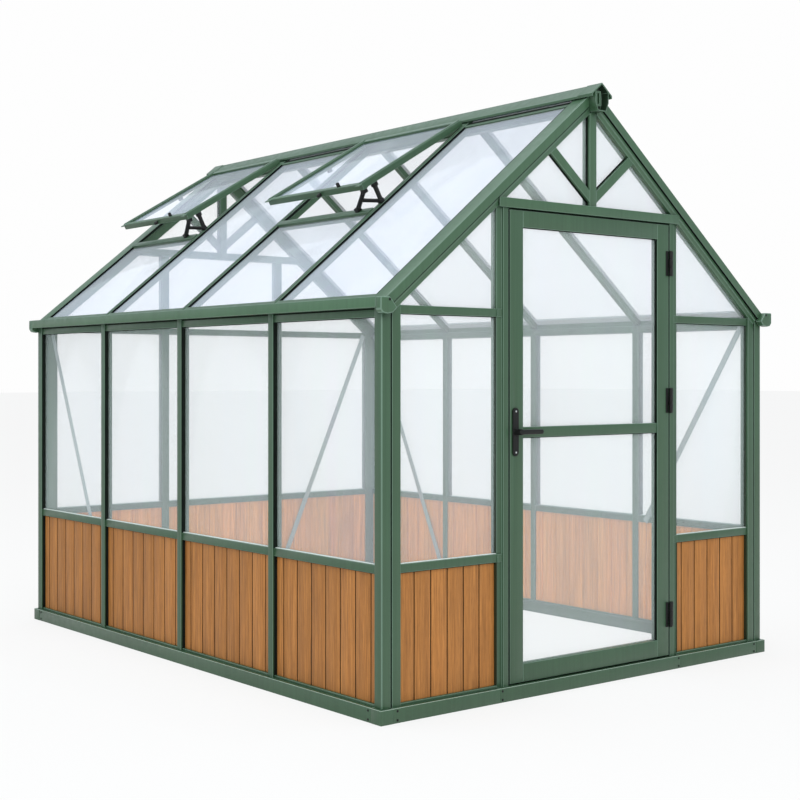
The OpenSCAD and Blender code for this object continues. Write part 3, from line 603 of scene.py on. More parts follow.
def boards_timber(name, colour):
    """Oiled boards: fine upright grain, broader flame, and a tone of its own for each board."""
    r = Recipe(name)
    tone = r.attribute("board_tone")
    offset = r.add("CombineXYZ")
    r.join(r.spread(tone, 0, 40, 0, 1), offset.inputs["Z"])
    r.join(r.spread(tone, 0, 3, 0, 1), offset.inputs["X"])
    moved = r.add("VectorMath", operation="ADD")
    r.join(r.place, moved.inputs[0])
    r.join(offset.outputs[0], moved.inputs[1])
    r.place = moved.outputs[0]
    fine = r.noise(1.0, 5.0, 0.65, r.stretched(420.0, 420.0, 7.0))
    streaks = r.noise(1.0, 4.0, 0.7, r.stretched(230.0, 230.0, 5.0))
    flame = r.noise(1.0, 4.0, 0.6, r.stretched(60.0, 60.0, 1.8))
    pores = r.noise(1.0, 2.0, 0.5, r.stretched(900.0, 900.0, 30.0))
    red, green, blue = colour
    base = r.ramp(
        flame,
        [
            (0.25, (red * 0.80, green * 0.76, blue * 0.70)),
            (0.42, (red * 0.92, green * 0.90, blue * 0.86)),
            (0.58, (red * 1.04, green * 1.05, blue * 1.06)),
            (0.75, (red * 1.12, green * 1.15, blue * 1.20)),
        ],
    )
    streaked = r.times(base, r.spread(streaks, 0.66, 1.30))
    grained = r.times(streaked, r.spread(fine, 0.76, 1.18))
    pored = r.times(grained, r.spread(pores, 0.86, 1.05, 0.35, 0.5))
    r.colour(r.times(pored, r.spread(tone, 0.92, 1.08, 0, 1)))
    r.rough(r.spread(fine, 0.5, 0.66))
    r.bump(fine, 0.35, 0.0006)
    r.set(Specular_IOR_Level=0.3)
    return r.material


# Colour of the painted glow on the roof sheets' undersides.
PAINTED_GLOW = (0.93, 0.97, 1.0, 1)
FINISHES = {}


def finish_of(name):
    if not FINISHES:
        c = colours()
        FINISHES["coat"] = powder_coat("green_powder_coat", c.coat)
        # A lighter copy of the coat for the upper bars and the gutter end caps: painted light, as if
        # more light fell on them.
        FINISHES["high"] = powder_coat("upper_painted_highlight_coat", shade(c.coat, 1.18))
        # A still lighter copy of the coat for the gutters: painted highlight.
        FINISHES["gutter"] = powder_coat("gutter_painted_highlight_coat", shade(c.coat, 1.4))
        # The lighter coat on the rounded edges is a painted highlight.
        FINISHES["arris"] = powder_coat("edge_highlight_powder_coat", c.arris)
        # The pale coat on the base rails' upper edges is a painted highlight.
        FINISHES["edge"] = powder_coat("top_edge_highlight_coat", c.edge)
        FINISHES["hollow"] = powder_coat("shaded_powder_coat", shade(c.coat, 0.35))
        # Near-black finish for the board grooves: painted shade.
        FINISHES["groove_shade"] = soft_rubber("painted_groove_shade", c.groove_shade)
        FINISHES["sill"] = powder_coat("sill_bead", c.sill)
        FINISHES["timber"] = boards_timber("cedar_boards", c.timber)
        FINISHES["inside"] = boards_timber("pale_cedar_boards", c.timber_inside)
        FINISHES["wall"] = clear_sheet("clear_wall_sheet", c.wall_veil, 0.17, 0.4, 0.0)
        FINISHES["roof"] = clear_sheet("clear_roof_sheet", c.roof_veil, 0.30, 0.12, 0.0)
        # The roof sheets' undersides glow: painted light for the daylight a spreading sheet passes on.
        FINISHES["lining"] = clear_sheet("clear_roof_sheet_underside_painted_glow", c.roof_lining, 0.30, 0.12, 0.75)
        FINISHES["black"] = black_coat("black_fittings", c.fitting)
        FINISHES["rubber"] = soft_rubber("seal_rubber", c.rubber)
        FINISHES["brace"] = brushed_metal("brace_metal", c.brace, 0.0)
        FINISHES["steel"] = brushed_metal("screw_steel", c.steel, 0.8)
    return FINISHES[name]


def sheets(node, *finishes, body="frame"):
    """Clear sheets with eased edges; a second finish goes on their undersides, and on the roof sheets it
    glows with painted light.
    """
    piece = copy_node(node, node.replace("_panes", "_sheets"))
    finished(piece, body, "clear_glazing", *finishes)
    if len(finishes) > 1:
        for face in piece.data.polygons:
            face.material_index = int(face.normal.z < -0.3)
    soften(piece, SEAL_ARRIS, 1)
    # A clear sheet throws almost no shadow, but a plain alpha would.
    piece.visible_shadow = False
    piece.visible_diffuse = False
    return piece


# ---------------------------------------------------------------- walls


class GREENHOUSE_OT_base(bpy.types.Operator):
    """Coats the base rails, corner blocks and door sill, and adds their screws"""

    bl_idname = "greenhouse.base"
    bl_label = "Base"

    def execute(self, context):
        s = sizes()
        for node in ("base_rails", "base_front_rails", "door_sill", "base_corners"):
            piece = coated(copy_node(node, node + "_coated"), s.arris, edge="edge")
            for face in piece.data.polygons:
                if face.normal.z < 0.3:  # only the upper edges take the painted highlight
                    face.material_index = 0
        from_corner, from_jamb, proud, head = 0.066, 0.009, 0.011, 0.0009
        columns = [
            (wall, side * (half - from_corner))
            for wall, half in ((FRONT, BASE_X), (RIGHT, BASE_Y), (BACK, BASE_X), (LEFT, BASE_Y))
            for side in (-1, 1)
        ]
        columns += [(FRONT, side * (s.jamb - from_jamb)) for side in (-1, 1)]
        places = [
            outwards(wall, along, -proud, BASE_TOP * share)
            for wall, along in columns
            for share in (0.2, 0.8)
        ]
        screws = stamped("base_screws", screw_head(s.screw, head), places)
        blackened(screws)
        return {"FINISHED"}


class GREENHOUSE_OT_uprights(bpy.types.Operator):
    """Coats the posts, stiles, mullions and jambs, and puts painted shade in the corner posts' grooves
    """

    bl_idname = "greenhouse.uprights"
    bl_label = "Uprights"

    def execute(self, context):
        s = sizes()
        posts = copy_node("corner_posts", "corner_posts_coated")
        # The posts' rounded edges take the lighter coat, a painted highlight.
        finished(posts, "frame", "green_frame", "coat", "arris")
        with editing(posts, "EDGE"):
            pick_edges(
                posts,
                lambda middle, along: abs(along.z) > 0.9
                and abs(abs(middle.x) - SIDE_X) < CLOSE
                and abs(abs(middle.y) - END_Y) < CLOSE,
            )
            bpy.ops.mesh.bevel(offset=s.post_arris, segments=4, affect="EDGES", material=1)
        soften(posts, s.arris, 2, material=1)
        for node in ("gable_stiles", "side_mullions", "back_posts", "door_jambs"):
            coated(copy_node(node, node + "_coated"), s.arris)
        # Near-black strips in the grooves beside the corner posts: painted shade.
        groove, near, far = [], 0.002, 0.013
        for side in (-1, 1):
            start, end = sorted((side * (s.stile_inner + s.stile), side * (SIDE_X - s.post)))
            groove.append(((start, near, BASE_TOP), (end, far, GUTTER_Z)))
        for wall in (FRONT, BACK):
            seals(WALL_NAMES[wall] + "_post_groove_shades", groove, on_wall(wall))
        return {"FINISHED"}


class GREENHOUSE_OT_rails(bpy.types.Operator):
    """Coats the foot, dado, eave and gable rails, and adds the lugs that lap over the door jambs"""

    bl_idname = "greenhouse.rails"
    bl_label = "Wall rails"

    def execute(self, context):
        s = sizes()
        for node in ("foot_rails", "dado_rails", "eave_rails", "gable_rails"):
            coated(copy_node(node, node + "_coated"), s.arris)
        lugs, lap, near, far = [], 0.020, 0.003, 0.010
        for low, high in ((DADO_Z, GLASS_Z), (GABLE_RAIL_Z, GABLE_RAIL_TOP)):
            for side in (-1, 1):
                start, end = sorted((side * (s.jamb - lap), side * s.jamb))
                lugs.append(((start, near, low), (end, far, high)))
        piece = put(joined("jamb_lugs", [block("lug", *ends) for ends in lugs]), on_wall(FRONT))
        coated(piece, s.arris)
        return {"FINISHED"}


def bay_boards(name, start, end, first, pitch, rng):
    """Tongued and grooved boards across one bay, the first board starting at first."""
    s = sizes()
    low, high = s.recess, s.recess + s.board_t
    middle, half = (low + high) / 2, s.tongue / 2
    into_rail, tongue_lap, groove, tuck = 0.0035, 0.004, 0.006, 0.004
    first -= pitch
    board = block(
        name,
        (first + s.board_gap / 2, low, FOOT_TOP - into_rail),
        (first + pitch - s.board_gap / 2, high, DADO_Z + into_rail),
    )
    for finish in ("timber", "groove_shade", "inside"):
        board.data.materials.append(finish_of(finish))
    with editing(board, "EDGE"):
        pick_edges(board, lambda place, along: abs(along.z) > 0.9)
        bpy.ops.mesh.bevel(offset=s.board_chamfer, segments=2, affect="EDGES")
    for level in (middle - half, middle + half):
        cut(board, (0, level, 0), (0, 1, 0))
    with editing(board):
        pick_faces(board, lambda centre, normal: normal.x > 0.9 and abs(centre.y - middle) < half)
        reach = s.board_gap + tongue_lap
        extrude(reach, 0, 0)
    with editing(board):
        pick_faces(
            board,
            lambda centre, normal: normal.x < -0.9
            and abs(centre.y - middle) < half
            and centre.x < first + pitch / 2,
        )
        extrude(groove, 0, 0)
    count = math.ceil((end - first) / pitch)
    modify(
        board,
        "ARRAY",
        count=count,
        use_relative_offset=False,
        use_constant_offset=True,
        constant_offset_displace=(pitch, 0, 0),
    )
    tones = [rng.random() for _ in range(count + 1)]
    layer = board.data.attributes.new("board_tone", "FLOAT", "FACE")
    for face in board.data.polygons:
        layer.data[face.index].value = tones[int((face.center.x - first) / pitch)]
    # The tongues and the groove sides take the near-black finish: painted shade in the grooves.
    for face in board.data.polygons:
        in_groove = face.center.y < middle + half - 0.0001 and abs(face.normal.y) < 0.6
        if abs(face.normal.z) < 0.5 and (in_groove or abs(face.center.y - middle + half) < 0.0003):
            face.material_index = 1
        elif face.center.y > middle:
            face.material_index = 2
    cut(board, (start - tuck, 0, 0), (1, 0, 0), clear_inner=True, use_fill=True)
    cut(board, (end + tuck, 0, 0), (1, 0, 0), clear_outer=True, use_fill=True)
    return board


class GREENHOUSE_OT_boards(bpy.types.Operator):
    """Builds the tongued and grooved boards below the dado rails"""

    bl_idname = "greenhouse.boards"
    bl_label = "Boards"

    def execute(self, context):
        rng = random.Random(7)
        board, wide_board, offcut, per_bay = 0.072, 0.0744, 0.040, 7
        for wall in (LEFT, RIGHT, FRONT, BACK):
            rows = []
            for k, (start, end) in enumerate(WALL_BAYS[wall]()):
                span = end - start
                if wall in (LEFT, RIGHT):
                    pitch = span / per_bay
                    first = start - pitch / 2
                elif wall == FRONT and k == 1:
                    pitch = wide_board
                    first = start + offcut - pitch
                else:
                    pitch = span / round(span / board)
                    first = start
                rows.append(bay_boards("boards", start, end, first, pitch, rng))
            node = WALL_NAMES[wall] + "_wood_panels"
            piece = put(joined(WALL_NAMES[wall] + "_boards", rows), on_wall(wall))
            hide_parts(node)
            finished(piece, "frame", "boarding")
            choose(piece)
            bpy.ops.object.shade_smooth_by_angle(angle=math.radians(25))
        return {"FINISHED"}


class GREENHOUSE_OT_wall_sheets(bpy.types.Operator):
    """Finishes the clear wall sheets, and fits their seals, sill beads and painted shade strips"""

    bl_idname = "greenhouse.wall_sheets"
    bl_label = "Wall sheets and seals"

    def execute(self, context):
        s = sizes()
        for part in ("left_wall", "right_wall", "front_wall", "back_wall", "gable"):
            sheets(part + "_panes", "wall")
        near, far, w = s.recess - s.seal_depth, s.recess, s.seal
        side_face, bead, step = 0.003, 0.0025, 0.003
        # Below the dado, the near-black side-wall strips and the shaded-coat end-wall strips beside the
        # boards are painted shade; the end walls' shaded strips run up beside the sheets too.
        for wall in (FRONT, RIGHT, BACK, LEFT):
            top = EAVE_RAIL_Z if wall in (LEFT, RIGHT) else GABLE_RAIL_Z
            upright, level, dado_shadow_lines = [], [], []
            for start, end in WALL_BAYS[wall]():
                face = near if wall in (FRONT, BACK) else side_face
                upright += [
                    ((start, face, GLASS_Z), (start + w, far, top)),
                    ((end - w, face, GLASS_Z), (end, far, top)),
                    ((start, near - step, FOOT_TOP), (start + w * 0.8, far, DADO_Z)),
                    ((end - w * 0.8, near - step, FOOT_TOP), (end, far, DADO_Z)),
                ]
                level.append(((start + w, near, top - w), (end - w, far, top)))
                # A near-black line under each dado rail, along the boards' top: painted shadow.
                dado_shadow_lines.append(((start + w, near + 0.002, DADO_Z - w), (end - w, far, DADO_Z)))
            name = WALL_NAMES[wall]
            seals(name + "_wall_seals_and_shadows", level + dado_shadow_lines, on_wall(wall))
            if wall in (LEFT, RIGHT):
                seals(name + "_side_seals_and_shade", upright, on_wall(wall))
            else:
                piece = strips(name + "_side_shade_strips", upright, on_wall(wall), SEAL_ARRIS)
                finished(piece, "frame", "green_frame", "hollow")
            beads = [
                ((start + w, near, GLASS_Z), (end - w, far, GLASS_Z + bead))
                for start, end in WALL_BAYS[wall]()
            ]
            piece = strips(name + "_sill_beads", beads, on_wall(wall), s.fine_arris)
            finished(piece, "frame", "green_frame", "sill")
        low, near, far = GUTTER_Z - 0.005, s.rail_back - 0.001, s.rail_back + 0.004
        under_gutter = [((start, near, low), (end, far, GUTTER_Z)) for start, end in side_bays()]
        for wall in (LEFT, RIGHT):
            seals(WALL_NAMES[wall] + "_gutter_shadow", under_gutter, on_wall(wall))
        return {"FINISHED"}


# ---------------------------------------------------------------- roof


class GREENHOUSE_OT_gables(bpy.types.Operator):
    """Coats the gable bars, covers the rafters and seals the gable sheets"""

    bl_idname = "greenhouse.gables"
    bl_label = "Gable ends"

    def execute(self, context):
        s = sizes()
        rafters = copy_node("gable_rafters", "gable_rafters_coated")
        # The gable bars and rafter covers take the lighter copy of the coat: painted light.
        coated(rafters, s.arris, coat="high")
        for node in ("gable_headers", "king_posts", "gable_struts"):
            coated(copy_node(node, node + "_coated"), s.arris, coat="high")
        foot = (BASE_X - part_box("gable_rafters")[1].x) / math.cos(s.roof_angle)
        covers, shadows = [], []
        past_ridge, line, shy = 1.3, 0.0015, 0.0004
        for side in (-1, 1):
            for end in (-1, 1):
                y0, y1 = sorted((end * RAFTER_Y, end * (RAFTER_Y + s.rafter_cover)))
                cover = block("cover", (foot, y0, -s.rafter_cover_h), (past_ridge, y1, 0))
                low, high = -s.rafter_cover_h - line, -s.rafter_cover_h
                shadow = block("shadow", (foot, y0, low), (past_ridge, y1 - shy * (end > 0), high))
                for part, kept in ((cover, covers), (shadow, shadows)):
                    put(part, on_slope(side))
                    cut(part, (side * s.ridge_half, 0, 0), (side, 0, 0), clear_inner=True, use_fill=True)
                    kept.append(part)
        coated(joined("rafter_covers", covers), s.arris, coat="high")
        # A near-black line under each rafter cover, finished as rubber: painted shadow.
        lines = joined("rafter_cover_shadow_lines", shadows)
        soften(lines, line / 5, 1)
        finished(lines, "frame", "black_fittings", "rubber")
        half_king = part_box("king_posts")[1].x
        near, far, w = s.recess - s.seal_depth, s.recess, s.seal
        seal_top, reach = HEADER_TOP + 0.31, s.jamb - 0.02
        below, above = (0.024, 0.262), (0.050, 0.255)
        for wall in (FRONT, BACK):
            boxes = [
                ((-half_king - w, near, HEADER_TOP), (-half_king, far, seal_top)),
                ((half_king, near, HEADER_TOP), (half_king + w, far, seal_top)),
                ((-reach, near, HEADER_TOP), (-half_king, far, HEADER_TOP + w)),
                ((half_king, near, HEADER_TOP), (reach, far, HEADER_TOP + w)),
            ]
            seals(WALL_NAMES[wall] + "_gable_seals", boxes, on_wall(wall))
            along = [
                ((below[0], near, -w), (below[1], far, 0)),
                ((above[0], near, s.strut), (above[1], far, s.strut + w)),
            ]
            lean = shift(0, 0, HEADER_TOP) @ Matrix.Rotation(-s.roof_angle, 4, "Y")
            sides = []
            for side in (1, -1):
                part = joined("strut_seal", [block("strut_seal", *ends) for ends in along])
                sides.append(put(part, on_wall(wall) @ Matrix.Scale(side, 4, (1, 0, 0)) @ lean))
            piece = joined(WALL_NAMES[wall] + "_strut_seals", sides)
            soften(piece, SEAL_ARRIS, 1)
            finished(piece, "frame", "black_fittings", "rubber")
        return {"FINISHED"}


class GREENHOUSE_OT_roof(bpy.types.Operator):
    """Finishes the roof's bars, gutters and sheets, and adds ribs, eave covers and ridge rails"""

    bl_idname = "greenhouse.roof"
    bl_label = "Roof bars and eaves"

    def execute(self, context):
        s = sizes()
        coated(copy_node("roof_bars", "roof_bars_coated"), s.arris)
        # The gutters take the lighter copy of the coat: painted highlight.
        coated(copy_node("gutters", "gutters_coated"), s.arris, coat="gutter")
        for node in ("left_roof_panes", "right_roof_panes"):
            sheets(node, "roof", "lining")
        cap_half, rib_half, rib_low, rib_high = 0.05, 0.0035, 0.001, 0.0022
        cover_start, cover_end, rail, band, under_cap = 0.012, 0.050, 0.024, 0.010, 0.006
        top = (BASE_X - cap_half) / math.cos(s.roof_angle)
        deep, flush = -s.sheet_depth, -0.0005
        ribs, covers, bands, rails, lines = [], [], [], [], []
        for k in (-1, 0, 1):
            y = k * END_Y / 2
            ribs.append(((0.03, y - rib_half, -rib_low), (top - 0.004, y + rib_half, rib_high)))
        for start, end in roof_bays():
            covers.append(((cover_start, start, deep), (cover_end, end, flush)))
            # Bands under the ridge cap's edge, in black rubber: painted shadow.
            bands.append(((top - band, start, deep), (top + under_cap, end, -0.003)))
            rails.append(((top - rail, start, deep), (top - band, end, -0.002)))
            for inner, outer in ((start, start + s.seal_width), (end - s.seal_width, end)):
                lines.append(((cover_end, inner, deep), (top - rail, outer, flush)))
        for side in (-1, 1):
            name = "left" if side < 0 else "right"
            kept = [k for k in range(4) if side > 0 or k in (1, 3)]
            for part, boxes in (
                ("ribs", ribs),
                ("eave_covers", covers),
                ("ridge_rails", [rails[k] for k in kept]),
            ):
                pieces = [block(part, low, high) for low, high in boxes]
                coated(put(joined(name + "_roof_" + part, pieces), on_slope(side)), s.fine_arris)
            # The near-black bands under the ridge cap are painted shadow.
            seals(name + "_ridge_cap_shadows", [bands[k] for k in kept], on_slope(side))
            seals(name + "_roof_seals", lines, on_slope(side))
        return {"FINISHED"}


class GREENHOUSE_OT_gutter_ends(bpy.types.Operator):
    """Rounds the gutter end caps and adds their screws"""

    bl_idname = "greenhouse.gutter_ends"
    bl_label = "Gutter end caps"

    def execute(self, context):
        s = sizes()
        caps = copy_node("gutter_end_caps", "gutter_end_caps_coated")
        # The end caps take the lighter copy of the coat: painted light.
        coated(caps, s.post_arris, segments=3, coat="high")
        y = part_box("gutter_end_caps")[1].y
        x, z = SIDE_X - 0.007, (GUTTER_Z + GUTTER_TOP) / 2 + 0.008
        places = [
            shift(side * x, end * y, z) @ turn(-90 * end, "X")
            for side in (-1, 1)
            for end in (-1, 1)
        ]
        radius, head = 0.0045, 0.0007
        screws = stamped("gutter_cap_screws", screw_head(radius, head), places)
        blackened(screws)
        return {"FINISHED"}


class GREENHOUSE_OT_ridge(bpy.types.Operator):
    """Coats the ridge beam, cap and end housings, and fits the plates inside the housings"""

    bl_idname = "greenhouse.ridge"
    bl_label = "Ridge"

    def execute(self, context):
        s = sizes()
        coated(copy_node("ridge_beam", "ridge_beam_coated"), s.arris)
        coated(copy_node("ridge_cap", "ridge_cap_coated"), s.fine_arris)
        housings = copy_node("ridge_end_caps", "ridge_end_caps_coated")
        finished(housings, "frame", "green_frame", "coat", "arris", "hollow")
        # The housings' inner and back faces take the shaded coat: painted shade inside the housings.
        axis, lip = CAP_APEX - 0.05, 0.02
        for face in housings.data.polygons:
            inwards = face.normal.x * face.center.x + face.normal.z * (face.center.z - axis)
            lining = inwards < -CLOSE and abs(face.center.x) < s.ridge_half
            back = abs(face.normal.y) > 0.9 and abs(face.center.y) < RIDGE_END_Y - lip
            if lining or back:
                face.material_index = 2
        soften(housings, s.fine_arris, 2, material=1)
        near, far, x0, x1 = RIDGE_END_Y - 0.004, RIDGE_END_Y - 0.034, -0.026, -0.002
        z0, z1, rim, slot = CAP_APEX - 0.082, CAP_APEX - 0.030, 0.007, 0.02
        for end in (-1, 1):
            y0, y1 = sorted((end * near, end * far))
            plate = block("ridge_plate", (x0, y0, z0), (x1, y1, z1))
            with editing(plate):
                pick_faces(plate, lambda centre, normal: normal.y * end > 0.9)
                bpy.ops.mesh.inset(thickness=rim)
                extrude(0, -end * slot, 0)
            coated(named(plate, "ridge_plate_front" if end < 0 else "ridge_plate_back"), s.fine_arris)
        return {"FINISHED"}


class GREENHOUSE_OT_vents(bpy.types.Operator):
    """Finishes the roof vents and their stays, and adds knobs, side blocks and side covers"""

    bl_idname = "greenhouse.vents"
    bl_label = "Roof vents"

    def execute(self, context):
        s = sizes()
        coated(copy_node("vent_frames", "vent_frames_coated"), s.arris)
        coated(copy_node("vent_sills", "vent_sills_coated"), s.arris)
        sheets("vent_panes", "roof", "lining")
        round_over = 0.002
        stays = copy_node("vent_stays", "vent_stays_rounded")
        blackened(stays)
        with editing(stays, everything=True):
            bpy.ops.transform.shrink_fatten(value=round_over)
        soften(stays, round_over, 2)
        vent_top = BASE_X / math.cos(s.roof_angle) - s.vent_hinge
        leaf = on_slope(-1) @ shift(vent_top, 0, 0) @ Matrix.Rotation(s.vent_open, 4, "Y")
        knob_r, knob_h, dome_in, dome_h = 0.007, 0.014, 0.002, 0.003
        top_knob, front_knob, block_from, block_to = 0.14, 0.25, -0.235, -0.215
        knob = rod("knob", knob_r, 0, knob_h, 16)
        with editing(knob):
            pick_faces(knob, lambda centre, normal: normal.z > 0.9)
            bpy.ops.mesh.inset(thickness=dome_in)
            bpy.ops.transform.translate(value=(0, 0, dome_h))
        rail = -s.vent_len + s.vent_bar / 2
        knobs, blocks, covers, lap = [], [], [], 0.008
        for k in (0, 2):
            start, end = roof_bays()[k]
            knobs.append(leaf @ shift(rail, start + top_knob, s.vent_h - 0.003))
            front = shift(rail - s.vent_bar / 2, start + front_knob, 0.008)
            knobs.append(leaf @ front @ turn(-90, "Y"))
            blocks.append(((block_from, end - lap, -0.014), (block_to, end + 0.006, -0.0005)))
            for side in (start - lap, end + lap - s.vent_bar):
                low = (-s.vent_len + 0.002, side + 0.003, s.vent_h - 0.001)
                covers.append((low, (-0.004, side + s.vent_bar - 0.007, s.vent_h + 0.003)))
        piece = stamped("vent_knobs", knob, knobs)
        blackened(piece)
        soften(piece, 0.001, 2, 40)
        piece = strips("vent_side_blocks", blocks, leaf, round_over)
        blackened(piece)
        piece = put(joined("vent_side_covers", [block("cover", *ends) for ends in covers]), leaf)
        coated(piece, s.fine_arris)
        return {"FINISHED"}


class GREENHOUSE_OT_braces(bpy.types.Operator):
    """Finishes the flat corner braces"""

    bl_idname = "greenhouse.braces"
    bl_label = "Braces"

    def execute(self, context):
        braces = copy_node("corner_braces", "corner_braces_finished")
        finished(braces, "frame", "bright_braces", "brace")
        soften(braces, sizes().fine_arris, 2)
        return {"FINISHED"}


# ---------------------------------------------------------------- door


class GREENHOUSE_OT_door(bpy.types.Operator):
    """Coats the door leaf, finishes its sheets and fits its seals"""

    bl_idname = "greenhouse.door"
    bl_label = "Door leaf"

    def execute(self, context):
        s = sizes()
        coated(copy_node("door_stiles", "door_stiles_coated"), s.arris, "door")
        coated(copy_node("door_rails", "door_rails_coated"), s.arris, "door")
        sheets("door_panes", "wall", body="door")
        inner = DOOR_X - s.door_stile
        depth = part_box("door_panes")[0].y + END_Y
        near, w = depth - s.seal_depth, s.seal
        boxes = []
        lower = (DOOR_Z + s.door_foot, s.door_mid)
        upper = (s.door_mid + s.door_mid_h, DOOR_TOP - s.door_top)
        for low, high in (lower, upper):
            boxes += [
                ((-inner, near, low), (-inner + w, depth, high)),
                ((inner - w, near, low), (inner, depth, high)),
                ((-inner + w, near, high - w), (inner - w, depth, high)),
            ]
        seals("door_sheet_seals", boxes, on_wall(FRONT), "door")
        # The hinge side takes a thinner seal than the latch side and the top. The seals are
        # weatherstrips, and their black also stands in for the shade inside the door gap: painted shade.
        near, far, thick, thin, short = 0.0006, DOOR_T - 0.003, 0.002, 0.001, 0.002
        low, high, out = DOOR_Z + short, DOOR_TOP - short, DOOR_X + s.door_gap
        edges = [
            ((-DOOR_X - thick, near, low), (-DOOR_X + thin, far, high)),
            ((DOOR_X - thin, near, low), (DOOR_X + thin, far, high)),
            ((-DOOR_X, near, DOOR_TOP - thin), (DOOR_X, far, DOOR_TOP + thick)),
            ((-DOOR_X, near, DOOR_Z - thin), (DOOR_X, far, DOOR_Z + thin)),
        ]
        seals("door_edge_seals_and_gap_shade", edges, on_wall(FRONT), "door")
        thick, thin, low = 0.0022, 0.0012, BASE_TOP + short
        reveal = [
            ((-out, near, low), (-out + thick, DOOR_T, HEADER_Z)),
            ((out - thin, near, low), (out, DOOR_T, HEADER_Z)),
            ((-out, near, HEADER_Z - thick), (out, DOOR_T, HEADER_Z)),
        ]
        seals("door_frame_seals_and_gap_shade", reveal, on_wall(FRONT))
        return {"FINISHED"}


class GREENHOUSE_OT_hinges(bpy.types.Operator):
    """Finishes the hinges and rounds their edges"""

    bl_idname = "greenhouse.hinges"
    bl_label = "Hinges"

    def execute(self, context):
        for node, body in (("jamb_hinges", "frame"), ("door_hinges", "door")):
            hinges = copy_node(node, node + "_rounded")
            blackened(hinges, body)
            soften(hinges, 0.0007, 2, 40)
        return {"FINISHED"}


class GREENHOUSE_OT_handle(bpy.types.Operator):
    """Builds the handle's long plates and their screws, and rounds the levers"""

    bl_idname = "greenhouse.handle"
    bl_label = "Handle set"

    def execute(self, context):
        low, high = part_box("door_handle_plates")
        centre = (low + high) / 2
        half_w, half_h = (high.x - low.x) / 2, (high.z - low.z) / 2
        thick = -END_Y - low.y
        outside = shift(centre.x, -END_Y, centre.z) @ turn(90, "X")
        mirrored = Matrix.Scale(-1, 4, (0, 1, 0))
        inside = shift(centre.x, -END_Y + DOOR_T, centre.z) @ mirrored @ turn(90, "X")
        plate = block("plate", (-half_w, -half_h, 0), (half_w, half_h, thick))
        with editing(plate, "EDGE"):
            pick_edges(plate, lambda middle, along: abs(along.z) > 0.9)
            bpy.ops.mesh.bevel(offset=half_w * 0.98, segments=10, affect="EDGES")
        collar_r, collar_h, from_end = 0.0118, 0.004, 0.012
        collar = rod("collar", collar_r, thick - CLOSE, thick + collar_h, 28)
        plates = stamped("handle_plates", joined("plate", [plate, collar]), [outside, inside])
        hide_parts("door_handle_plates")
        blackened(plates, "door")
        soften(plates, 0.0012, 3, 50)
        screws = []
        for place in (outside, inside):
            for y in (-half_h + from_end, half_h - from_end):
                screws.append(place @ shift(0, y, thick))
        radius, head = 0.0032, 0.0008
        screws = stamped("handle_screws", screw_head(radius, head), screws)
        finished(screws, "door", "bright_braces", "steel")

        lever = copy_node("door_levers", "levers_rounded")
        blackened(lever, "lever")
        soften(lever, 0.0035, 4, 50)
        return {"FINISHED"}


# ---------------------------------------------------------------- studio


def world_light(scene):
    """Even daylight for the object, with the backdrop's white for what is seen or mirrored."""
    world = bpy.data.worlds.new("studio_world")
    scene.world = world
    world.use_nodes = True
    nodes, links = world.node_tree.nodes, world.node_tree.links
    nodes.clear()
    light = nodes.new("ShaderNodeBackground")
    light.inputs["Color"].default_value = (0.95, 0.98, 1.0, 1)
    light.inputs["Strength"].default_value = 0.85
    seen = nodes.new("ShaderNodeBackground")
    tone = nodes.new("ShaderNodeMix")
    tone.data_type = "RGBA"
    tone.inputs[6].default_value = (*colours().backdrop, 1)
    tone.inputs[7].default_value = (0.86, 0.97, 1.0, 1)
    path = nodes.new("ShaderNodeLightPath")
    links.new(path.outputs["Is Glossy Ray"], tone.inputs[0])
    links.new(tone.outputs[2], seen.inputs["Color"])
    first, second = nodes.new("ShaderNodeMath"), nodes.new("ShaderNodeMath")
    first.operation = second.operation = "MAXIMUM"
    links.new(path.outputs["Is Camera Ray"], first.inputs[0])
    links.new(path.outputs["Is Glossy Ray"], first.inputs[1])
    links.new(first.outputs[0], second.inputs[0])
    links.new(path.outputs["Is Transmission Ray"], second.inputs[1])
    mix = nodes.new("ShaderNodeMixShader")
    out = nodes.new("ShaderNodeOutputWorld")
    links.new(second.outputs[0], mix.inputs[0])
    links.new(light.outputs[0], mix.inputs[1])
    links.new(seen.outputs[0], mix.inputs[2])
    links.new(mix.outputs[0], out.inputs[0])


def studio_floor():
    bpy.ops.object.select_all(action="DESELECT")
    bpy.ops.mesh.primitive_plane_add(size=160, location=(0, 0, 0))
    floor = named(bpy.context.active_object, "studio_floor")
    r = Recipe("studio_floor")
    c = tuple(colours().backdrop)
    r.colour(r.ramp(r.noise(0.4, 2.0), [(0.3, shade(c, 0.985)), (0.7, c)]))
    r.set(Roughness=0.9, Specular_IOR_Level=0.0)
    glow = r.add("Emission")
    glow.inputs["Color"].default_value = (*shade(c, 0.952), 1)
    path = r.add("LightPath")
    seen = r.add("Math", operation="MAXIMUM")
    r.join(path.outputs["Is Camera Ray"], seen.inputs[0])
    r.join(path.outputs["Is Glossy Ray"], seen.inputs[1])
    share = r.add("Math", operation="MULTIPLY")
    share.inputs[1].default_value = 0.86  # the rest is lit, so that shadows show
    r.join(seen.outputs[0], share.inputs[0])
    blend = r.add("MixShader")
    r.join(share.outputs[0], blend.inputs[0])
    r.join(r.shader.outputs[0], blend.inputs[1])
    r.join(glow.outputs[0], blend.inputs[2])
    r.join(blend.outputs[0], r.tree.nodes["Material Output"].inputs[0])
    floor.data.materials.append(r.material)


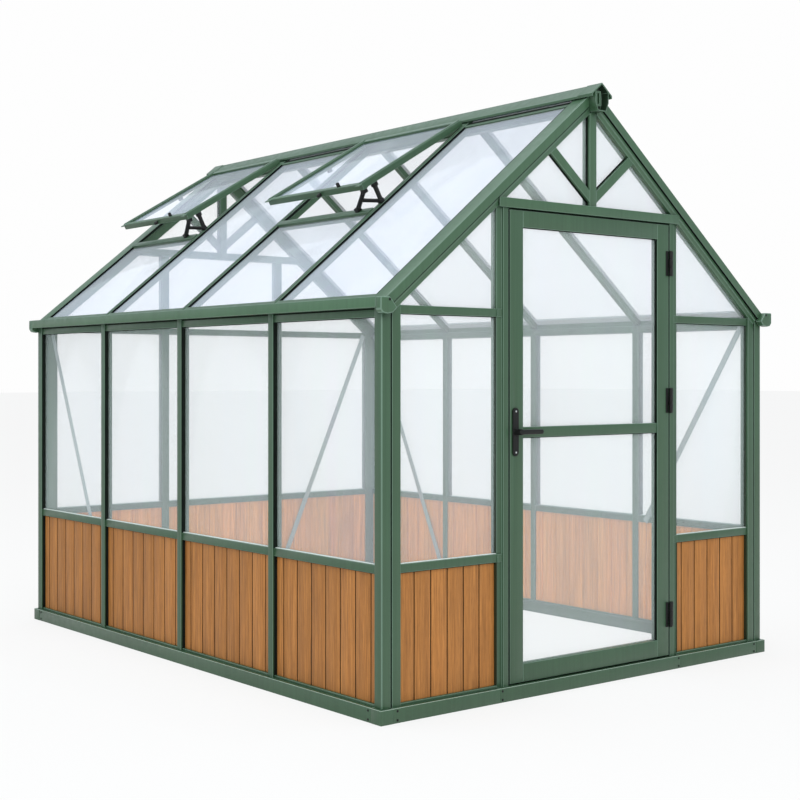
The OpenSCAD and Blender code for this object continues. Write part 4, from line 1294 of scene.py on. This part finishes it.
class GREENHOUSE_OT_studio(bpy.types.Operator):
    """Sets the floor, the white surround, the lamps and the camera"""

    bl_idname = "greenhouse.studio"
    bl_label = "Studio"

    def execute(self, context):
        scene = context.scene
        scene.view_settings.view_transform = "Standard"
        world_light(scene)
        studio_floor()
        for name, place, size, power, colour in [
            ("key_lamp", (-4.0, -6.6, 4.2), 3.0, 185, (1.0, 1.0, 0.98)),
            ("top_lamp", (-1.0, 0.0, 7.0), 5.0, 200, (0.92, 0.98, 1.0)),
        ]:
            bpy.ops.object.light_add(type="AREA", location=place)
            lamp = context.active_object
            lamp.name = name
            lamp.data.energy = power
            lamp.data.size = size
            lamp.data.color = colour
            aim = Vector((0, 0, 0.9)) - Vector(place)
            lamp.rotation_euler = aim.to_track_quat("-Z", "Y").to_euler()
        bpy.ops.object.camera_add(
            location=(-3.6458, -4.6344, 1.0714), rotation=(math.radians(90), 0, -math.radians(38.4423))
        )
        camera = context.active_object
        camera.data.lens = 64.046
        camera.data.sensor_width = 36
        camera.data.shift_x = 0.0217
        camera.data.shift_y = -0.0305
        scene.camera = camera
        return {"FINISHED"}


# ---------------------------------------------------------------- add-on


class GREENHOUSE_PT_panel(bpy.types.Panel):
    bl_label = "Greenhouse"
    bl_idname = "GREENHOUSE_PT_panel"
    bl_space_type = "VIEW_3D"
    bl_region_type = "UI"
    bl_category = "Greenhouse"

    def draw(self, context):
        for group in (context.scene.greenhouse_sizes, context.scene.greenhouse_colours):
            for name in group.__annotations__:
                self.layout.prop(group, name)
        for operator in OPERATORS:
            self.layout.operator(operator.bl_idname)


OPERATORS = [
    GREENHOUSE_OT_base,
    GREENHOUSE_OT_uprights,
    GREENHOUSE_OT_rails,
    GREENHOUSE_OT_boards,
    GREENHOUSE_OT_wall_sheets,
    GREENHOUSE_OT_gables,
    GREENHOUSE_OT_roof,
    GREENHOUSE_OT_gutter_ends,
    GREENHOUSE_OT_ridge,
    GREENHOUSE_OT_vents,
    GREENHOUSE_OT_braces,
    GREENHOUSE_OT_door,
    GREENHOUSE_OT_hinges,
    GREENHOUSE_OT_handle,
    GREENHOUSE_OT_studio,
]
CLASSES = [GreenhouseSizes, GreenhouseColours, *OPERATORS, GREENHOUSE_PT_panel]


def register():
    for cls in CLASSES:
        bpy.utils.register_class(cls)
    bpy.types.Scene.greenhouse_sizes = bpy.props.PointerProperty(type=GreenhouseSizes)
    bpy.types.Scene.greenhouse_colours = bpy.props.PointerProperty(type=GreenhouseColours)


def unregister():
    del bpy.types.Scene.greenhouse_colours
    del bpy.types.Scene.greenhouse_sizes
    for cls in reversed(CLASSES):
        bpy.utils.unregister_class(cls)


def main():
    register()
    for operator in OPERATORS:
        group, name = operator.bl_idname.split(".")
        getattr(getattr(bpy.ops, group), name)()
    bpy.context.view_layer.update()


if __name__ == "__main__":
    main()
